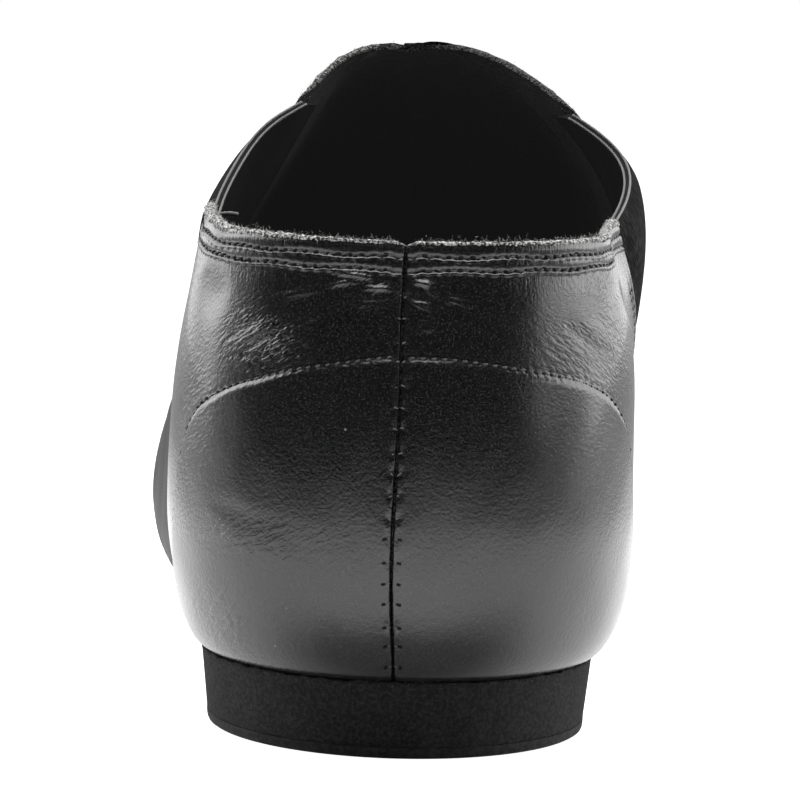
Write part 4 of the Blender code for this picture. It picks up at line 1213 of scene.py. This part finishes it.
def makeTongueEdge():
    # a fuzzy cut edge, thicker on the lateral side; seams of the lining beside the gores
    roots, lines, liningPaths = [], [], []
    for side, half in zip(sides, vampHalves):
        shape = half["grid"].shape[:2]
        skin, inside, up = (half[key].reshape(*shape, 3) for key in ("outer", "inner", "normals"))
        along = half["fields"]["along"].reshape(shape)[:, -1]
        rim = along < throatY / mm + 0.9
        path, low = skin[rim, -1], inside[rim, -1]
        centre, out = 0.5 * (path + low), unit(path - low)
        upward = unit(path - skin[rim, -3])
        high = tongueEdge[side][0] + tongueEdge[side][1] * softStep(along[rim], 84, 90)
        wide = np.linalg.norm(path - low, axis=1) / mm / 2 + 0.03
        row = [np.concatenate([table, table[-1:]]) for table in (centre, out, upward, wide, high)]
        row[0][-1] += np.array([-tongueEdge["lap"] * sides[side], 0, -0.05]) * mm       # the halves lap at the crown
        bead = tubeAlong(*row, tongueEdge["rough"], 10)
        tongueBead = newPiece("tongueRawEdge" + side.capitalize(), bead["points"], bead["quads"],
                              [tongueEdgeMats[side]], sharp=0)
        roots.append(centre + upward * 0.2 * mm)
        lines.append(upward)
        field = half["fields"]["arc"].reshape(shape).T
        for behind in (1.6, 3.4):
            seam, tops = (levelCurve(table.transpose(1, 0, 2), -field, -behind) for table in (inside, up))
            seen = seam[:, 2] > 0.047
            liningPaths.append(evenPath(seam[seen], 1.7, 0.2, tops[seen]))
    tongueFuzz = fuzzOn("tongueFuzz", roots, lines, paleThreadMat)
    centres, ahead, up = gather(liningPaths)
    liningThread = stitchRows("liningThread", (centres, ahead, -up), 1.15, 0.13, [threadMat])


# a gore's turned edges in mm: places across its thickness, rise over it, half width and height, unevenness
turned = {"places": (0.12, 0.88), "rise": 0.10, "wide": 0.16, "high": 0.20, "rough": 0.05}
threadEnd = {"reach": (2.6, 0.2, 0.0), "arch": 0.12, "radius": 0.30, "rough": 0.10}


def makeSelvedges():
    # the two turned edges of each gore's doubled elastic, with a gap between them, and a loose thread end
    tubes = []
    for side, (outerEdge, innerEdge) in gores.items():
        across = unit(outerEdge - innerEdge)
        ahead = unit(np.gradient(outerEdge, axis=0))
        upward = unit(np.cross(ahead, across) * sides[side])
        upward *= np.sign(upward[:, 2:3])
        trim = slice(7, -9)                     # both ends run under the leather
        for share in turned["places"]:
            centre = innerEdge + (outerEdge - innerEdge) * share + upward * turned["rise"] * mm
            tubes.append(tubeAlong(centre[trim], across[trim], upward[trim],
                                   turned["wide"], turned["high"], turned["rough"]))
    u = np.linspace(0, 1, 12)[:, None]
    path = gores["lateral"][1][9] + np.array(threadEnd["reach"]) * mm * u
    path = path + np.array([0, 0, threadEnd["arch"]]) * mm * np.sin(u * turn / 2)
    ahead, upward = np.tile([0.0, 1, 0], (12, 1)), np.tile([0.0, 0, 1], (12, 1))
    tubes.append(tubeAlong(path, ahead, upward, threadEnd["radius"], threadEnd["radius"], threadEnd["rough"]))
    tube = joinSheets(tubes)
    selvedge = newPiece("goreSelvedges", tube["points"], tube["quads"], [selvedgeMat], sharp=0)


makeBackSeam(holeShadePlaces)
makeCollarEdge()
makeJoinFuzz()
makeTongueEdge()
makeSelvedges()
print("threads ready")

# view, floor and lights
view = {
    "origin": (0.0101, -0.6224, 0.097), "yaw": 0.822, "pitch": 5.55, "roll": 1.7, "lens": 174.4,
    # studio seen by the leather: two side boxes as bands of X with their brightness, one high box, one overhead
    "leftLow": (0.20, 0.34, 0.66, 0.80), "leftLowGlow": (-0.16, -0.02, 0.3, 1.9),
    "leftHigh": (0.68, 0.82, 0.88, 0.955), "leftHighGlow": (-0.10, 0.16, 0.1, 4.8),
    "rightBand": (0.14, 0.26, 0.93, 0.99), "rightGlow": (0.55, 0.85, 1.7, 3.0), "rightLow": (-0.18, -0.06),
    "sideBand": (0.90, 0.97), "sideAhead": (-0.40, -0.15), "sideGlow": (0.05, 0.18, 0.0, 2.9),
    "sideTop": (0.24, 0.36, 1.0, 0.15),
    "above": (0.80, 0.95, 0.0, 5.5), "ahead": (0.5, 0.9, 0.02, 0.09),
    # floor: its own light in reflections and to the eye; the painted shadow close to the heel and the painted fall-off
    # of light far out, in metres
    "floorGlow": 0.25, "floorWhite": 1.0, "footprint": (0.003, -0.080, 0.0), "farFloor": (0.16, 0.42, 1.0, 0.12),
    "shade": (0.008, -0.130, 0.0), "shadeSize": (0.062, 0.028, 1.0), "shadeFloor": (0.25, 1.0, 0.20, 1.0),
    "boxPlace": (0.9, 0.15, 0.35), "boxTarget": (0, -0.08, 0.04), "boxSize": (0.5, 1.0), "boxEnergy": 0.8,
}


def putInScene(thing, x, y, z, origin):
    # puts a camera or lamp at origin with the given axes, in the scene
    bpy.context.scene.collection.objects.link(thing)
    thing.matrix_world = Matrix([[x[k], y[k], z[k], origin[k]] for k in range(3)] + [[0, 0, 0, 1]])


def makeCamera():
    # looks along yaw and pitch, rolled about its own axis
    camera = bpy.data.objects.new("camera", bpy.data.cameras.new("camera"))
    yaw, pitch, roll = (math.radians(view[key]) for key in ("yaw", "pitch", "roll"))
    forward = np.array([-math.sin(yaw) * math.cos(pitch), math.cos(yaw) * math.cos(pitch), -math.sin(pitch)])
    right = np.array([math.cos(yaw), math.sin(yaw), 0])
    upright = np.cross(right, forward)
    camera.data.lens = view["lens"]
    camera.data.sensor_width = 36
    camera.data.clip_end = 20
    putInScene(camera, right * math.cos(roll) + upright * math.sin(roll),
               upright * math.cos(roll) - right * math.sin(roll), -forward, view["origin"])
    bpy.context.scene.camera = camera


def band(tree, socket, low, lowFull, highFull, high):
    # 0 outside low..high, 1 inside lowFull..highFull, softly between
    return times(tree, remap(tree, socket, low, lowFull), remap(tree, socket, highFull, high, 1.0, 0.0))


def makeWorld():
    # the eye sees white; reflections see the sum of the boxes, each a product of soft bands of the direction
    world = bpy.data.worlds.new("studio")
    bpy.context.scene.world = world
    world.use_nodes = True
    tree = world.node_tree
    direction = addNode(tree, "SeparateXYZ", {0: addNode(tree, "TexCoord").outputs["Generated"]})
    x, y, z = (direction.outputs[key] for key in "XYZ")
    leftX = times(tree, x, -1.0)
    leftLow = times(tree, band(tree, leftX, *view["leftLow"]), remap(tree, z, *view["leftLowGlow"]))
    leftHigh = times(tree, band(tree, leftX, *view["leftHigh"]), remap(tree, z, *view["leftHighGlow"]))
    rightBox = times(tree, band(tree, x, *view["rightBand"]), remap(tree, x, *view["rightGlow"]),
                     remap(tree, z, *view["rightLow"]))
    sideBox = times(tree, remap(tree, x, *view["sideBand"]), remap(tree, y, *view["sideAhead"]),
                    times(tree, remap(tree, z, *view["sideGlow"]), remap(tree, z, *view["sideTop"])))
    boxes = times(tree, plus(tree, leftLow, leftHigh, rightBox), remap(tree, y, 0.0, 0.1))
    background = tree.nodes["Background"]
    background.inputs["Color"].default_value = (1, 1, 1, 1)
    tree.links.new(plus(tree, boxes, sideBox, remap(tree, z, *view["above"]), remap(tree, y, *view["ahead"])),
                   background.inputs["Strength"])
    white = addNode(tree, "Background", {"Color": (1, 1, 1, 1), "Strength": 1.0})
    seen = addNode(tree, "LightPath").outputs["Is Camera Ray"]
    blend = addNode(tree, "MixShader", {0: seen, 1: background.outputs[0], 2: white.outputs[0]})
    tree.links.new(blend.outputs[0], tree.nodes["World Output"].inputs["Surface"])


def makeFloor():
    # pale floor, white to the eye; in reflections a painted shadow darkens it close to the heel, a painted fall-off of
    # light darkens it far out, and it glows
    floorMesh = bpy.data.meshes.new("floor")
    floorMesh.from_pydata([(-3, -3, 0), (3, -3, 0), (3, 3, 0), (-3, 3, 0)], [], [(0, 1, 2, 3)])
    floor = bpy.data.objects.new("floor", floorMesh)
    floor.location.z = -0.0002
    bpy.context.scene.collection.objects.link(floor)
    material, tree, shader = newMaterial("paleFloor", 0.7)
    spot = objectPlace(tree)
    far = addNode(tree, "VectorMath", {0: spot, 1: view["footprint"]}, operation="DISTANCE").outputs["Value"]
    near = addNode(tree, "Mapping", {0: spot, "Location": view["shade"], "Scale": view["shadeSize"]},
                   vector_type="TEXTURE").outputs[0]
    near = addNode(tree, "VectorMath", {0: near}, operation="LENGTH").outputs["Value"]
    # painted shadow near the heel and painted fall-off far out, in the floor's colour and in its glow seen in
    # reflections
    paintedLightMask = times(tree, remap(tree, near, *view["shadeFloor"]), remap(tree, far, *view["farFloor"]))
    wire(tree, shader, mixColour(tree, paintedLightMask, 0.05, mixColour(tree, noise(tree, 30.0, 2.0), 0.90, 0.93)))
    shader.inputs["Emission Color"].default_value = (1, 1, 1, 1)
    eye = addNode(tree, "LightPath").outputs["Is Camera Ray"]
    # painted light: in reflections the floor glows, dimmed by the painted shadow
    reflectedGlow = times(tree, maths(tree, "SUBTRACT", 1.0, eye), times(tree, paintedLightMask, view["floorGlow"]))
    tree.links.new(plus(tree, reflectedGlow, times(tree, eye, view["floorWhite"])), shader.inputs["Emission Strength"])
    floorMesh.materials.append(material)


def softBox(name, side):
    # an area light turned to the shoe, mirrored to one side of it
    light = bpy.data.lights.new(name, "AREA")
    light.shape = "RECTANGLE"
    light.size, light.size_y = view["boxSize"]
    light.energy = view["boxEnergy"]
    origin = np.array(view["boxPlace"]) * [side, 1, 1]
    back = unit(origin - view["boxTarget"])
    across = unit(np.cross([0, 0, 1], back))
    putInScene(bpy.data.objects.new(name, light), across, np.cross(back, across), back, origin)


makeCamera()
makeWorld()
makeFloor()
softBox("leftBox", -1)
softBox("rightBox", 1)
bpy.context.scene.view_settings.view_transform = "Standard"
print("stage ready")
